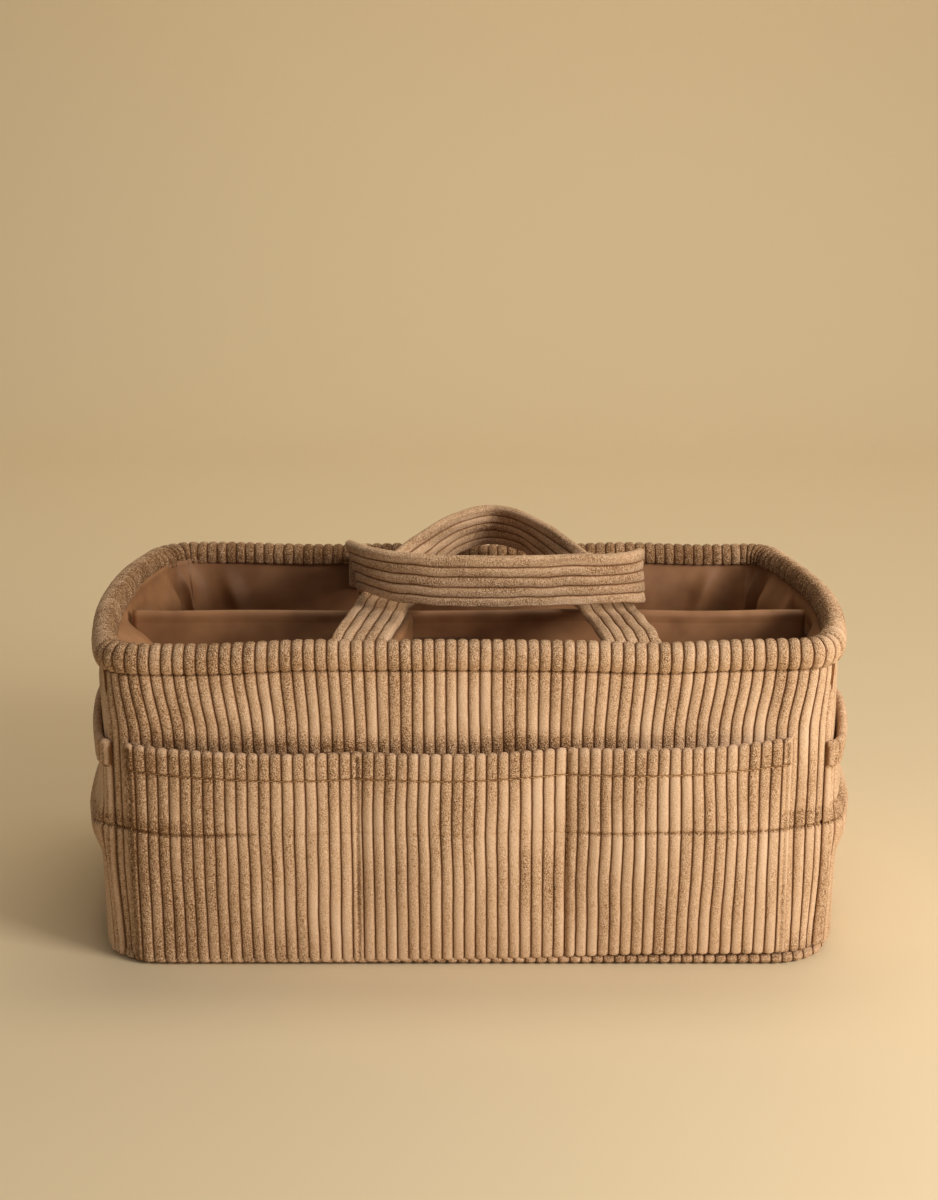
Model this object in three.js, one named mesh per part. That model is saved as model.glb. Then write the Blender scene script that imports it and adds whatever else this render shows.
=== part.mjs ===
// Soft open-top nursery caddy in wide-wale corduroy: walls stiffened by boards, a padded turned-over rim,
// a front pocket in three compartments, a pocket on each side, two strap handles and two dividers that
// hook-and-loop tape holds in place.
// Millimetres, +Z up, +X to the right, +Y to the back, origin at the middle of the underside.

import * as THREE from 'three';

// Overall size, measured over the rim
const height = 176;
const rimWidth = 413;
const rimDepth = 250;

// Plan of the walls: straight front and back, round corners, bowed sides
const cornerRadius = 30;
const sideRadius = 560;
const seamShare = 0.63;

// Cloth, boards and fits
const clothThickness = 2.6;
const boardThickness = 2.6;
const liningThickness = 0.9;
const tapeThickness = 0.9;
const clearance = 0.3;

// Rim
const rimFlare = 4.5;
const rimCrown = 7;
const hemDepth = 16;

// Fold line across the walls
const foldHeight = 76;
const foldDepth = 0.8;
const foldWidth = 4;

// Bottom
const bottomThickness = 4.5;
const bottomEdgeRadius = 2;
const baseBoardThickness = 3;

// Pockets
const pocketHeight = 117;
const frontPocketLeftGap = 16.5;
const frontPocketRightGap = 30.5;
const frontSeamLeft = 58;
const frontSeamRight = 51;
const frontPocketDepth = 8;
const sidePocketDepth = 12;
const sidePocketInset = 9;

// Handles
const handleWidth = 30;
const handleThickness = 4.5;
const handleCorner = 1.2;
const handleTailLength = 11;
const handleOffset = 14;
const hingeGap = 0.5;
const frontHandleSpan = 138;
const frontHandleReach = 201;
const frontHandleRise = 15.5;
const handleSideGap = 3;
const backHandleReach = 177;
const backHandleRise = 18.8;

// Dividers
const dividerDrop = 14;
const dividerPlace = 0;
const dividerCoreThickness = 3;
const dividerCoverThickness = 1.2;
const dividerSideRun = 1.8;
const crossDividerPlace = 42;
const crossDividerSkewDegrees = 7.4;

// Hook-and-loop tape
const tapeFoot = 40;
const tapeTopGap = 12;
const hookTapeWidth = 20;
const dividerTravel = 30;

// Counts of flat steps that round shapes are made of
const straightSteps = 4;
const cornerSteps = 6;
const sideSteps = 5;
const rimSteps = 6;
const swellSteps = 3;
const bottomEdgeSteps = 3;
const pocketRows = 8;
const lobeSteps = 8;
const handleSteps = 56;

// Cloth layers of a wall, as distances inward from its outer face
const shellIn = clothThickness;
const boardOut = shellIn + clearance;
const boardIn = boardOut + boardThickness;
const liningOut = boardIn + clearance;
const liningIn = liningOut + liningThickness;
const facingOut = liningIn + clearance;
const facingIn = facingOut + clothThickness;
const tapeIn = facingOut + tapeThickness;

// Levels
const wallFoot = bottomThickness + clearance;
const baseBoardTop = wallFoot + baseBoardThickness;
const floorTop = baseBoardTop + clearance + liningThickness;
const liningFoot = floorTop + clearance;
const rollLevel = height - rimCrown;
const hemFoot = height - hemDepth;
const tapeHeight = hemFoot - tapeTopGap - tapeFoot;
const dividerTop = height - dividerDrop;

// Plan of the outer wall face below the rim
const halfWidth = rimWidth / 2 - rimFlare;
const halfDepth = rimDepth / 2 - rimFlare;
const cornerY = halfDepth - cornerRadius;
const sideTurn = Math.asin(cornerY / (sideRadius - cornerRadius));
const cornerTurn = Math.PI / 2 - sideTurn;
const sideCentreX = halfWidth - sideRadius;
const cornerX = sideCentreX + (sideRadius - cornerRadius) * Math.cos(sideTurn);

// A stop is a point of the plan with the direction that its wall faces: turn 0 faces the front, a quarter
// turn faces the right.
function quarterStops() {
  const list = [];
  for (let i = 0; i < straightSteps; i++) {
    list.push({ x: cornerX * i / straightSteps, y: -halfDepth, turn: 0 });
  }
  for (let i = 0; i < cornerSteps; i++) {
    const turn = cornerTurn * i / cornerSteps;
    const x = cornerX + cornerRadius * Math.sin(turn);
    list.push({ x, y: -cornerY - cornerRadius * Math.cos(turn), turn });
  }
  for (let i = 0; i <= sideSteps; i++) {
    const turn = cornerTurn + sideTurn * i / sideSteps;
    const x = sideCentreX + sideRadius * Math.sin(turn);
    list.push({ x, y: -sideRadius * Math.cos(turn), turn });
  }
  return list;
}

// The whole plan, counter-clockwise from the middle of the front
function planStops() {
  const front = quarterStops();
  const back = front.map((stop) => ({ x: stop.x, y: -stop.y, turn: Math.PI - stop.turn })).reverse();
  const right = [...front.slice(0, -1), ...back.slice(0, -1)];
  const left = right.map((stop) => ({ x: -stop.x, y: -stop.y, turn: stop.turn + Math.PI }));
  return [...right, ...left];
}

const stops = planStops();

// The run of a stop is its distance along the plan from the middle of the front
const runs = [0];
for (let i = 0; i < stops.length; i++) {
  const next = stops[(i + 1) % stops.length];
  runs.push(runs[i] + Math.hypot(next.x - stops[i].x, next.y - stops[i].y));
}
const perimeter = runs[stops.length];
const rightMiddle = perimeter / 4;
const backMiddle = perimeter / 2;
const cornerRun = cornerX + cornerRadius * cornerTurn * seamShare;

function insetStop(stop, inward) {
  return new THREE.Vector2(stop.x - inward * Math.sin(stop.turn), stop.y + inward * Math.cos(stop.turn));
}

// A point at a run along the walls, so far inward from their outer face, at height z
function wallPoint(run, inward, z) {
  const along = ((run % perimeter) + perimeter) % perimeter;
  let i = 0;
  while (along >= runs[i + 1]) i++;
  const share = (along - runs[i]) / (runs[i + 1] - runs[i]);
  const from = insetStop(stops[i], inward);
  const point = from.lerp(insetStop(stops[(i + 1) % stops.length], inward), share);
  return new THREE.Vector3(point.x, point.y, z);
}

// The runs at which a panel from one run to another has a section: its ends and each stop between them
function runsBetween(from, to) {
  const list = [from];
  for (const lap of [-perimeter, 0, perimeter]) {
    for (const run of runs.slice(0, -1)) {
      if (run + lap > from + clearance && run + lap < to - clearance) list.push(run + lap);
    }
  }
  list.push(to);
  return list.sort((a, b) => a - b);
}

// The volume inside triangles, negative when they face inward
function signedVolume(points, triangles) {
  let sum = 0;
  for (const [a, b, c] of triangles) {
    sum += points[a].dot(new THREE.Vector3().crossVectors(points[b], points[c]));
  }
  return sum / 6;
}

function closedGeometry(points, triangles) {
  const inward = signedVolume(points, triangles) < 0;
  const index = triangles.flatMap(([a, b, c]) => (inward ? [a, c, b] : [a, b, c]));
  const geometry = new THREE.BufferGeometry();
  geometry.setAttribute('position', new THREE.Float32BufferAttribute(points.flatMap((p) => p.toArray()), 3));
  geometry.setIndex(index);
  geometry.computeVertexNormals();
  return geometry;
}

// The triangles that close an outline whose points run up one side and back down the other
function stripCap(size) {
  const list = [];
  for (let k = 0; k < size / 2 - 1; k++) {
    list.push([k, k + 1, size - 2 - k], [k, size - 2 - k, size - 1 - k]);
  }
  return list;
}

// The triangles from each side of an outline to its middle, which is one more point
function fanCap(size) {
  return Array.from({ length: size }, (_, k) => [k, (k + 1) % size, size]);
}

// A solid through rings of points, closed at both ends by caps, or joined back to the first ring
function ringSolid(rings, cap) {
  const size = rings[0].length;
  const points = rings.flat();
  const triangles = [];
  const bands = cap ? rings.length - 1 : rings.length;
  for (let i = 0; i < bands; i++) {
    const near = i * size;
    const far = ((i + 1) % rings.length) * size;
    for (let k = 0; k < size; k++) {
      const next = (k + 1) % size;
      triangles.push([near + k, near + next, far + next], [near + k, far + next, far + k]);
    }
  }
  if (cap) {
    for (const [ring, start, order] of [[rings[0], 0, -1], [rings[bands], bands * size, 1]]) {
      const middle = points.length;
      if (cap === fanCap) points.push(middleOf(ring));
      const place = (k) => (k === size ? middle : start + k);
      for (const [a, b, c] of cap(size)) {
        triangles.push(order > 0 ? [place(a), place(b), place(c)] : [place(a), place(c), place(b)]);
      }
    }
  }
  return closedGeometry(points, triangles);
}

function middleOf(ring) {
  const sum = new THREE.Vector3();
  for (const point of ring) sum.add(point);
  return sum.divideScalar(ring.length);
}

// A piece that follows the walls: its section, as [inward, z] points up one side and down the other, may
// change with the run
function wallPiece(runList, sectionAt) {
  const sections = runList.map(sectionAt);
  const rings = sections.map((section, i) => section.map(([inward, z]) => wallPoint(runList[i], inward, z)));
  return ringSolid(rings, stripCap);
}

// A flat piece that fills the plan, as levels of [inward, z]
function planPiece(levels) {
  const rings = levels.map(([inward, z]) => stops.map((stop) => {
    const point = insetStop(stop, inward);
    return new THREE.Vector3(point.x, point.y, z);
  }));
  return ringSolid(rings, fanCap);
}

// Colours from the photograph
const corduroy = { color: '#c2976c', roughness: 0.95, metalness: 0 };
const corduroyStrap = { color: '#b98d62', roughness: 0.95, metalness: 0 };
const lining = { color: '#8a6149', roughness: 0.55, metalness: 0 };
const board = { color: '#b9ab95', roughness: 0.9, metalness: 0 };
const padding = { color: '#e6e0d2', roughness: 1, metalness: 0 };
const tape = { color: '#7c5a44', roughness: 1, metalness: 0 };

const caddy = new THREE.Group();

function addPiece(name, geometry, finish, parent = caddy) {
  const mesh = new THREE.Mesh(geometry, new THREE.MeshStandardMaterial(finish));
  mesh.name = name;
  parent.add(mesh);
  return mesh;
}

// Points of a half ellipse over the rim, from its outer side to its inner side
function rimArch(reach, rise) {
  const middle = (facingIn - rimFlare) / 2;
  const list = [];
  for (let i = 0; i <= rimSteps; i++) {
    const angle = Math.PI * (1 - i / rimSteps);
    list.push([middle + reach * Math.cos(angle), rollLevel + rise * Math.sin(angle)]);
  }
  return list;
}

// Section of an outer panel: up the wall, over the rim, and down inside as the facing. The wall has a
// shallow fold line and swells above the stitch line into the padded rim.
const rimReach = (facingIn + rimFlare) / 2;
const swell = [];
for (let i = 1; i < swellSteps; i++) {
  const angle = Math.PI / 2 * i / swellSteps;
  swell.push([-rimFlare * Math.sin(angle), rollLevel - (rollLevel - hemFoot) * Math.cos(angle)]);
}
const panelSection = [
  [0, wallFoot],
  [0, foldHeight - foldWidth / 2],
  [foldDepth, foldHeight],
  [0, foldHeight + foldWidth / 2],
  [0, hemFoot],
  ...swell,
  ...rimArch(rimReach, rimCrown),
  [facingIn, hemFoot],
  [facingOut, hemFoot],
  ...rimArch(rimReach - clothThickness, rimCrown - clothThickness).reverse(),
  ...swell.map(([inward, z]) => [inward + clothThickness, z]).reverse(),
  [shellIn, hemFoot],
  [shellIn, foldHeight + foldWidth / 2],
  [shellIn, foldHeight],
  [shellIn, foldHeight - foldWidth / 2],
  [shellIn, wallFoot],
];

// The four walls, each from one corner seam to the next
const walls = [
  { side: 'front', from: -cornerRun, to: cornerRun },
  { side: 'right', from: cornerRun, to: backMiddle - cornerRun },
  { side: 'back', from: backMiddle - cornerRun, to: backMiddle + cornerRun },
  { side: 'left', from: backMiddle + cornerRun, to: perimeter - cornerRun },
];

for (const { side, from, to } of walls) {
  const wallRuns = runsBetween(from + clearance / 2, to - clearance / 2);
  addPiece(`outer_${side}_panel`, wallPiece(wallRuns, () => panelSection), corduroy);
  const boardSection = [
    [boardOut, wallFoot],
    [boardOut, rollLevel],
    [boardIn, rollLevel],
    [boardIn, wallFoot],
  ];
  addPiece(`${side}_board`, wallPiece(wallRuns, () => boardSection), board);
  const liningSection = [
    [liningOut, liningFoot],
    [liningOut, rollLevel],
    [liningIn, rollLevel],
    [liningIn, liningFoot],
  ];
  addPiece(`${side}_lining`, wallPiece(wallRuns, () => liningSection), lining);
}

// Bottom, with a rounded lower edge, and the floor above it
const bottomLevels = [];
for (let i = 0; i <= bottomEdgeSteps; i++) {
  const angle = Math.PI / 2 * i / bottomEdgeSteps;
  bottomLevels.push([bottomEdgeRadius * (1 - Math.sin(angle)), bottomEdgeRadius * (1 - Math.cos(angle))]);
}
addPiece('bottom_panel', planPiece([...bottomLevels, [0, bottomThickness]]), corduroy);
addPiece('base_board', planPiece([[liningOut, wallFoot], [liningOut, baseBoardTop]]), board);
addPiece('floor_lining', planPiece([[liningOut, baseBoardTop + clearance], [liningOut, floorTop]]), lining);

// Padding under the crown of the rim, on the top edges of the boards
const paddingReach = rimReach - clothThickness - clearance;
const paddingRise = rimCrown - clothThickness - clearance * 2;
const paddingSection = rimArch(paddingReach, paddingRise).map(([inward, z]) => [inward, z + clearance]);
const paddingRings = runs.slice(0, -1).map((run) => (
  paddingSection.map(([inward, z]) => wallPoint(run, inward, z))
));
addPiece('rim_padding', ringSolid(paddingRings), padding);

// How far a full pocket stands off, as a share: along its mouth, and from its foot to its mouth
const lobePowerShare = 0.8;
const mouthDrawShare = 0.35;

function lobeShare(run, seams) {
  const right = seams.findIndex((seam) => seam > run);
  if (right < 1) return 0;
  const share = (run - seams[right - 1]) / (seams[right] - seams[right - 1]);
  return Math.sin(Math.PI * share) ** lobePowerShare;
}

function riseShare(share) {
  return (1 - (1 - share) ** 3) * (1 - mouthDrawShare * share * share);
}

// A pocket sewn down along its foot and along each seam, and open at its mouth
function pocket(seams, depth) {
  const list = [];
  for (let i = 1; i < seams.length; i++) {
    for (let k = 0; k < lobeSteps; k++) list.push(seams[i - 1] + (seams[i] - seams[i - 1]) * k / lobeSteps);
  }
  list.push(seams[seams.length - 1]);
  const from = seams[0];
  const to = seams[seams.length - 1];
  const corners = runsBetween(from, to).filter((run) => list.every((other) => Math.abs(other - run) > clearance));
  const pocketRuns = [...list, ...corners].sort((a, b) => a - b);
  return wallPiece(pocketRuns, (run) => {
    const outer = [];
    const inner = [];
    for (let row = 0; row <= pocketRows; row++) {
      const share = row / pocketRows;
      const z = wallFoot + pocketHeight * share;
      const stand = clearance + depth * lobeShare(run, seams) * riseShare(share);
      outer.push([-stand - clothThickness, z]);
      inner.push([-stand, z]);
    }
    return [...outer, ...inner.reverse()];
  });
}

const pocketLeft = cornerRun - frontPocketLeftGap;
const pocketRight = cornerRun - frontPocketRightGap;
const frontSeams = [-pocketLeft, -frontSeamLeft, frontSeamRight, pocketRight];
addPiece('front_pocket', pocket(frontSeams, frontPocketDepth), corduroy);
const sidePocketFrom = cornerRun + sidePocketInset;
const sidePocketTo = backMiddle - sidePocketFrom;
addPiece('right_pocket', pocket([sidePocketFrom, sidePocketTo], sidePocketDepth), corduroy);
const leftSeams = [backMiddle + sidePocketFrom, backMiddle + sidePocketTo];
addPiece('left_pocket', pocket(leftSeams, sidePocketDepth), corduroy);

// Handles. Each is a strap that turns about a line just inside the rim. Its middle line is given from one
// sewn end to the other as shares of its half span, reach and rise, with the tilt of its width out of the
// level as a share of a right angle.
const hingeY = halfDepth - facingIn - clearance - handleThickness / 2;
const hingeZ = height + handleThickness / 2 + hingeGap;
const backHandleSpan = frontHandleSpan + 2 * handleSideGap;

// The front handle leans back
const frontHandleShares = [
  [-1, 0, 0, 0],
  [-1.03, 0.07, -0.12, 0.02],
  [-1.01, 0.13, -0.24, 0.02],
  [-0.98, 0.2, -0.34, 0.03],
  [-0.92, 0.315, -0.36, 0.08],
  [-0.8, 0.465, -0.22, 0.26],
  [-0.675, 0.615, 0.26, 0.68],
  [-0.545, 0.74, 0.54, 0.95],
  [-0.432, 0.85, 0.7, 1.1],
  [-0.277, 0.94, 0.87, 1.23],
  [-0.12, 0.985, 0.96, 1.3],
  [0, 1, 0.985, 1.33],
  [0.12, 0.985, 0.96, 1.3],
  [0.27, 0.94, 0.87, 1.23],
  [0.4, 0.85, 0.7, 1.1],
  [0.505, 0.74, 0.54, 0.95],
  [0.605, 0.615, 0.3, 0.7],
  [0.75, 0.465, -0.16, 0.3],
  [0.895, 0.315, -0.36, 0.08],
  [0.965, 0.2, -0.34, 0.03],
  [1, 0.13, -0.24, 0.02],
  [1.015, 0.07, -0.12, 0.02],
  [1, 0, 0, 0],
];
// The back handle leans forward over the front one and stands out further at its right end
const backHandleShares = [
  [-1, 0, 0, 0],
  [-1, 0.06, -0.08, 0.06],
  [-1, 0.14, -0.34, 0.35],
  [-1.01, 0.24, -0.28, 0.72],
  [-1.03, 0.36, -0.08, 0.88],
  [-1.09, 0.5, 0.2, 0.95],
  [-1.12, 0.64, 0.54, 0.95],
  [-1.1, 0.74, 0.84, 0.88],
  [-1.03, 0.83, 0.98, 0.81],
  [-0.92, 0.89, 0.98, 0.81],
  [-0.72, 0.945, 0.94, 0.83],
  [-0.43, 0.985, 0.92, 0.84],
  [0, 1, 0.92, 0.84],
  [0.43, 0.995, 0.94, 0.84],
  [0.74, 0.985, 0.96, 0.82],
  [0.95, 0.965, 0.96, 0.82],
  [1.06, 0.93, 0.94, 0.88],
  [1.12, 0.86, 0.84, 0.97],
  [1.14, 0.76, 0.6, 1],
  [1.12, 0.64, 0.3, 0.88],
  [1.09, 0.5, 0.04, 0.68],
  [1.06, 0.4, -0.1, 0.5],
  [1.04, 0.3, -0.26, 0.42],
  [1.02, 0.2, -0.38, 0.32],
  [1, 0.13, -0.3, 0.2],
  [1, 0.06, -0.08, 0.06],
  [1, 0, 0, 0],
];

function handle(shares, span, reach, rise, lean) {
  const curve = new THREE.CatmullRomCurve3(shares.map(([side, along, up]) => new THREE.Vector3(
    handleOffset + side * span / 2,
    lean * (along * reach - hingeY),
    hingeZ + up * rise,
  )));
  const rings = [];
  for (let i = 0; i <= handleSteps; i++) {
    const t = i / handleSteps;
    const place = t * (shares.length - 1);
    const k = Math.min(Math.floor(place), shares.length - 2);
    const tilt = THREE.MathUtils.lerp(shares[k][3], shares[k + 1][3], place - k) * Math.PI / 2;
    const along = i === 0 || i === handleSteps
      ? new THREE.Vector3(0, i === 0 ? lean : -lean, 0)
      : curve.getTangent(t);
    const level = new THREE.Vector3(-along.y, along.x, 0).normalize().multiplyScalar(lean);
    const wide = level.multiplyScalar(Math.cos(tilt)).add(new THREE.Vector3(0, 0, Math.sin(tilt)));
    const thick = new THREE.Vector3().crossVectors(along, wide).normalize();
    wide.crossVectors(thick, along).normalize();
    rings.push(strapOutline.map(({ x, y }) => (
      curve.getPoint(t).addScaledVector(wide, x).addScaledVector(thick, y)
    )));
  }
  return ringSolid(rings, stripCap);
}

// Outline of a strap with its four edges taken off
const edgeX = handleWidth / 2;
const edgeY = handleThickness / 2;
const strapOutline = [
  new THREE.Vector2(edgeX, -edgeY + handleCorner),
  new THREE.Vector2(edgeX, edgeY - handleCorner),
  new THREE.Vector2(edgeX - handleCorner, edgeY),
  new THREE.Vector2(-edgeX + handleCorner, edgeY),
  new THREE.Vector2(-edgeX, edgeY - handleCorner),
  new THREE.Vector2(-edgeX, -edgeY + handleCorner),
  new THREE.Vector2(-edgeX + handleCorner, -edgeY),
  new THREE.Vector2(edgeX - handleCorner, -edgeY),
];

const frontHandle = handle(frontHandleShares, frontHandleSpan, frontHandleReach, frontHandleRise, 1);
addPiece('front_handle', frontHandle, corduroyStrap);
const backHandle = handle(backHandleShares, backHandleSpan, backHandleReach, backHandleRise, -1);
addPiece('back_handle', backHandle, corduroyStrap);

// The sewn ends of the handles, on the facing of the rim just below the hinge line
const tailTop = hingeZ - handleThickness / 2 - hingeGap - clearance;

function handleTail(name, x, y) {
  const geometry = new THREE.BoxGeometry(handleWidth, handleThickness, handleTailLength);
  const mesh = addPiece(name, geometry, corduroyStrap);
  mesh.position.set(x, y, tailTop - handleTailLength / 2);
}

for (const [end, side] of [['left', -1], ['right', 1]]) {
  handleTail(`front_handle_${end}_tail`, handleOffset + side * frontHandleSpan / 2, -hingeY);
  handleTail(`back_handle_${end}_tail`, handleOffset + side * backHandleSpan / 2, hingeY);
}

// Dividers: a board in a cover that is open along its foot
const dividerFoot = floorTop + clearance;
const coverIn = dividerCoreThickness / 2 + clearance;
const coverOut = coverIn + dividerCoverThickness;
const coverRoof = dividerTop - dividerCoverThickness;

function coverGeometry(length) {
  const outline = new THREE.Shape([
    new THREE.Vector2(-coverOut, dividerFoot),
    new THREE.Vector2(-coverIn, dividerFoot),
    new THREE.Vector2(-coverIn, coverRoof),
    new THREE.Vector2(coverIn, coverRoof),
    new THREE.Vector2(coverIn, dividerFoot),
    new THREE.Vector2(coverOut, dividerFoot),
    new THREE.Vector2(coverOut, dividerTop - dividerCoverThickness / 2),
    new THREE.Vector2(coverIn, dividerTop),
    new THREE.Vector2(-coverIn, dividerTop),
    new THREE.Vector2(-coverOut, dividerTop - dividerCoverThickness / 2),
  ]);
  const geometry = new THREE.ExtrudeGeometry(outline, { depth: length, bevelEnabled: false });
  geometry.translate(0, 0, -length / 2);
  geometry.rotateX(Math.PI / 2);
  return geometry;
}

function addDivider(name, length) {
  const group = new THREE.Group();
  addPiece(`${name}_cover`, coverGeometry(length), lining, group);
  const coreHeight = coverRoof - clearance - dividerFoot;
  const core = addPiece(`${name}_core`, new THREE.BoxGeometry(dividerCoreThickness, length, coreHeight), board, group);
  core.position.z = dividerFoot + coreHeight / 2;
  caddy.add(group);
  return group;
}

// The long divider runs across at mid depth, its hook tapes facing the loop tapes on the side linings
const hookX = halfWidth - tapeIn - dividerSideRun;
const longLength = 2 * (hookX - tapeThickness - clearance);
const longDivider = addDivider('long_divider', longLength);
longDivider.rotation.z = Math.PI / 2;
longDivider.position.y = dividerPlace;

function tapeBox(name, sizeX, sizeY, x, y) {
  const mesh = addPiece(name, new THREE.BoxGeometry(sizeX, sizeY, tapeHeight), tape);
  mesh.position.set(x, y, tapeFoot + tapeHeight / 2);
}

tapeBox('long_divider_right_hook', tapeThickness, hookTapeWidth, hookX - tapeThickness / 2, dividerPlace);
tapeBox('long_divider_left_hook', tapeThickness, hookTapeWidth, tapeThickness / 2 - hookX, dividerPlace);

// The cross divider stands a little askew between the front lining and the long divider
const frontHookY = dividerPlace - coverOut - tapeThickness - clearance * 2 - tapeThickness / 2;
const crossBackY = frontHookY - tapeThickness / 2 - clearance;
const crossFrontY = facingIn + clearance - halfDepth;
const skew = THREE.MathUtils.degToRad(crossDividerSkewDegrees);
const crossLength = (crossBackY - crossFrontY - 2 * coverOut * Math.sin(skew)) / Math.cos(skew);
const crossDivider = addDivider('cross_divider', crossLength);
crossDivider.rotation.z = -skew;
crossDivider.position.set(-crossDividerPlace, (crossFrontY + crossBackY) / 2, 0);

const crossHalf = crossLength / 2 * Math.sin(skew);
const wallHookY = tapeIn + clearance + tapeThickness / 2 - halfDepth;
tapeBox('cross_divider_back_hook', hookTapeWidth, tapeThickness, crossHalf - crossDividerPlace, frontHookY);
tapeBox('cross_divider_front_hook', hookTapeWidth, tapeThickness, -crossHalf - crossDividerPlace, wallHookY);

// Loop tapes, each long enough for the travel of what it holds
const crossTapeWidth = hookTapeWidth + 2 * dividerTravel;
const dividerTapeY = dividerPlace - coverOut - clearance - tapeThickness / 2;
tapeBox('long_divider_loop', crossTapeWidth, tapeThickness, crossHalf - crossDividerPlace, dividerTapeY);

function loopTape(from, to) {
  const section = [
    [facingOut, tapeFoot],
    [facingOut, tapeFoot + tapeHeight],
    [tapeIn, tapeFoot + tapeHeight],
    [tapeIn, tapeFoot],
  ];
  return wallPiece(runsBetween(from, to), () => section);
}

const frontTapeMiddle = -crossHalf - crossDividerPlace;
const frontTapeFrom = frontTapeMiddle - crossTapeWidth / 2;
addPiece('front_loop_tape', loopTape(frontTapeFrom, frontTapeFrom + crossTapeWidth), tape);
const sideTapeNear = hookTapeWidth / 2 - dividerPlace;
const sideTapeFar = sideTapeNear + dividerTravel + dividerPlace * 2;
addPiece('right_loop_tape', loopTape(rightMiddle - sideTapeNear, rightMiddle + sideTapeFar), tape);
const leftMiddle = backMiddle + rightMiddle;
addPiece('left_loop_tape', loopTape(leftMiddle - sideTapeFar, leftMiddle + sideTapeNear), tape);

export default caddy;
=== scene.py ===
"""Soft nursery caddy in camel wide-wale corduroy: padded turned-over rim, a front pocket in three
compartments, side pockets, two strap handles, and a brown lining with two dividers.
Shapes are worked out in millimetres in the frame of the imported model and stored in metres."""
import math

import bpy
import numpy as np
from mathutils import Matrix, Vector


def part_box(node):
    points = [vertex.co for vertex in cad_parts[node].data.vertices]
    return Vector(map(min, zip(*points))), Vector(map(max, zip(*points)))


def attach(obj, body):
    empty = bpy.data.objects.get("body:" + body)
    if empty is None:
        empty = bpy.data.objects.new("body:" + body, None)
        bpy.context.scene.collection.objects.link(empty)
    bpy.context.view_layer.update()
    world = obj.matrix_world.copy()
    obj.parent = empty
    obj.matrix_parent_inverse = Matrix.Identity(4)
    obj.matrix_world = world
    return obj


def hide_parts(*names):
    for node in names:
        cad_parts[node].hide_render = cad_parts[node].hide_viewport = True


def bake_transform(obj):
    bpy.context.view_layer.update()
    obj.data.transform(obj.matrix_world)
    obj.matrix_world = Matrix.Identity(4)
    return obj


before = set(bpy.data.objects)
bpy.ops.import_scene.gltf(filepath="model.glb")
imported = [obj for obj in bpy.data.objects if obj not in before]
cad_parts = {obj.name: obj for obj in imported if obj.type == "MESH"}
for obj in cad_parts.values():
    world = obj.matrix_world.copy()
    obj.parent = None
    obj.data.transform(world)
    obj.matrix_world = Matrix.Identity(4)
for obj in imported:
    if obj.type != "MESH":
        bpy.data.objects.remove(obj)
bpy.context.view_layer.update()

MM = 0.001


def node_box(node):
    """Lowest and highest corner of a CAD node, in millimetres."""
    low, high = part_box(node)
    return np.array(low) / MM, np.array(high) / MM


# Sizes of the walls, from the frame where it has them
HALF_WIDTH, HALF_DEPTH, BOTTOM_THICK = node_box("bottom_panel")[1]
PANEL_LOW, PANEL_HIGH = node_box("outer_front_panel")
HEIGHT = PANEL_HIGH[2]
WALL_FOOT = PANEL_LOW[2]
RIM_FLARE = -HALF_DEPTH - PANEL_LOW[1]
FLOOR_TOP = node_box("floor_lining")[1][2]
CORNER_RADIUS = 20.0
BOTTOM_RADIUS = 32.0
SIDE_RADIUS = 470.0
SEAM_SHARE = 0.63
HEM_DEPTH = 16.0
RIM_CROWN = 7.0
CLOTH = 2.6
FACING_IN = 9.6
RIM_MIDDLE = (FACING_IN - RIM_FLARE) / 2
RIM_REACH = (FACING_IN + RIM_FLARE) / 2
FOOT_RADIUS = 2.2
FOOT_DEPTH = 2.0
FOOT_TOP = WALL_FOOT + 1.4
LINING_OUT = 5.8
LINING_IN = 6.7
FOLD_HEIGHT = 76.0
ROLL_LEVEL = HEIGHT - RIM_CROWN
HEM_FOOT = HEIGHT - HEM_DEPTH
FACING_FOOT = HEM_FOOT + 5.5
STITCH_LEVEL = HEM_FOOT + 1

CORNER_Y = HALF_DEPTH - CORNER_RADIUS
SIDE_TURN = math.asin(CORNER_Y / (SIDE_RADIUS - CORNER_RADIUS))
CORNER_TURN = math.pi / 2 - SIDE_TURN
SIDE_CENTRE_X = HALF_WIDTH - SIDE_RADIUS
CORNER_X = SIDE_CENTRE_X + (SIDE_RADIUS - CORNER_RADIUS) * math.cos(SIDE_TURN)
CORNER_LENGTH = CORNER_RADIUS * CORNER_TURN
QUARTER = CORNER_X + CORNER_LENGTH + SIDE_RADIUS * SIDE_TURN
CORNER_RUN = CORNER_X + CORNER_LENGTH * SEAM_SHARE
BACK_RUN = 2 * QUARTER

# Wide-wale corduroy: a wale every 5.9 mm, its pile 1.9 mm deep and 0.8 mm proud of the cloth's face
WALE = 5.9
PILE = 1.9
PROUD = 0.8
# The pile dips along a line of stitches, to this depth and width, and its tufts make its face uneven
STITCH_DIP = 0.9
STITCH_WIDTH = 0.7
TUFTS = 0.12
WALE_PLACES = np.array([0.0, 0.03, 0.085, 0.19, 0.34, 0.5, 0.66, 0.81, 0.915, 0.97])


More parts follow.
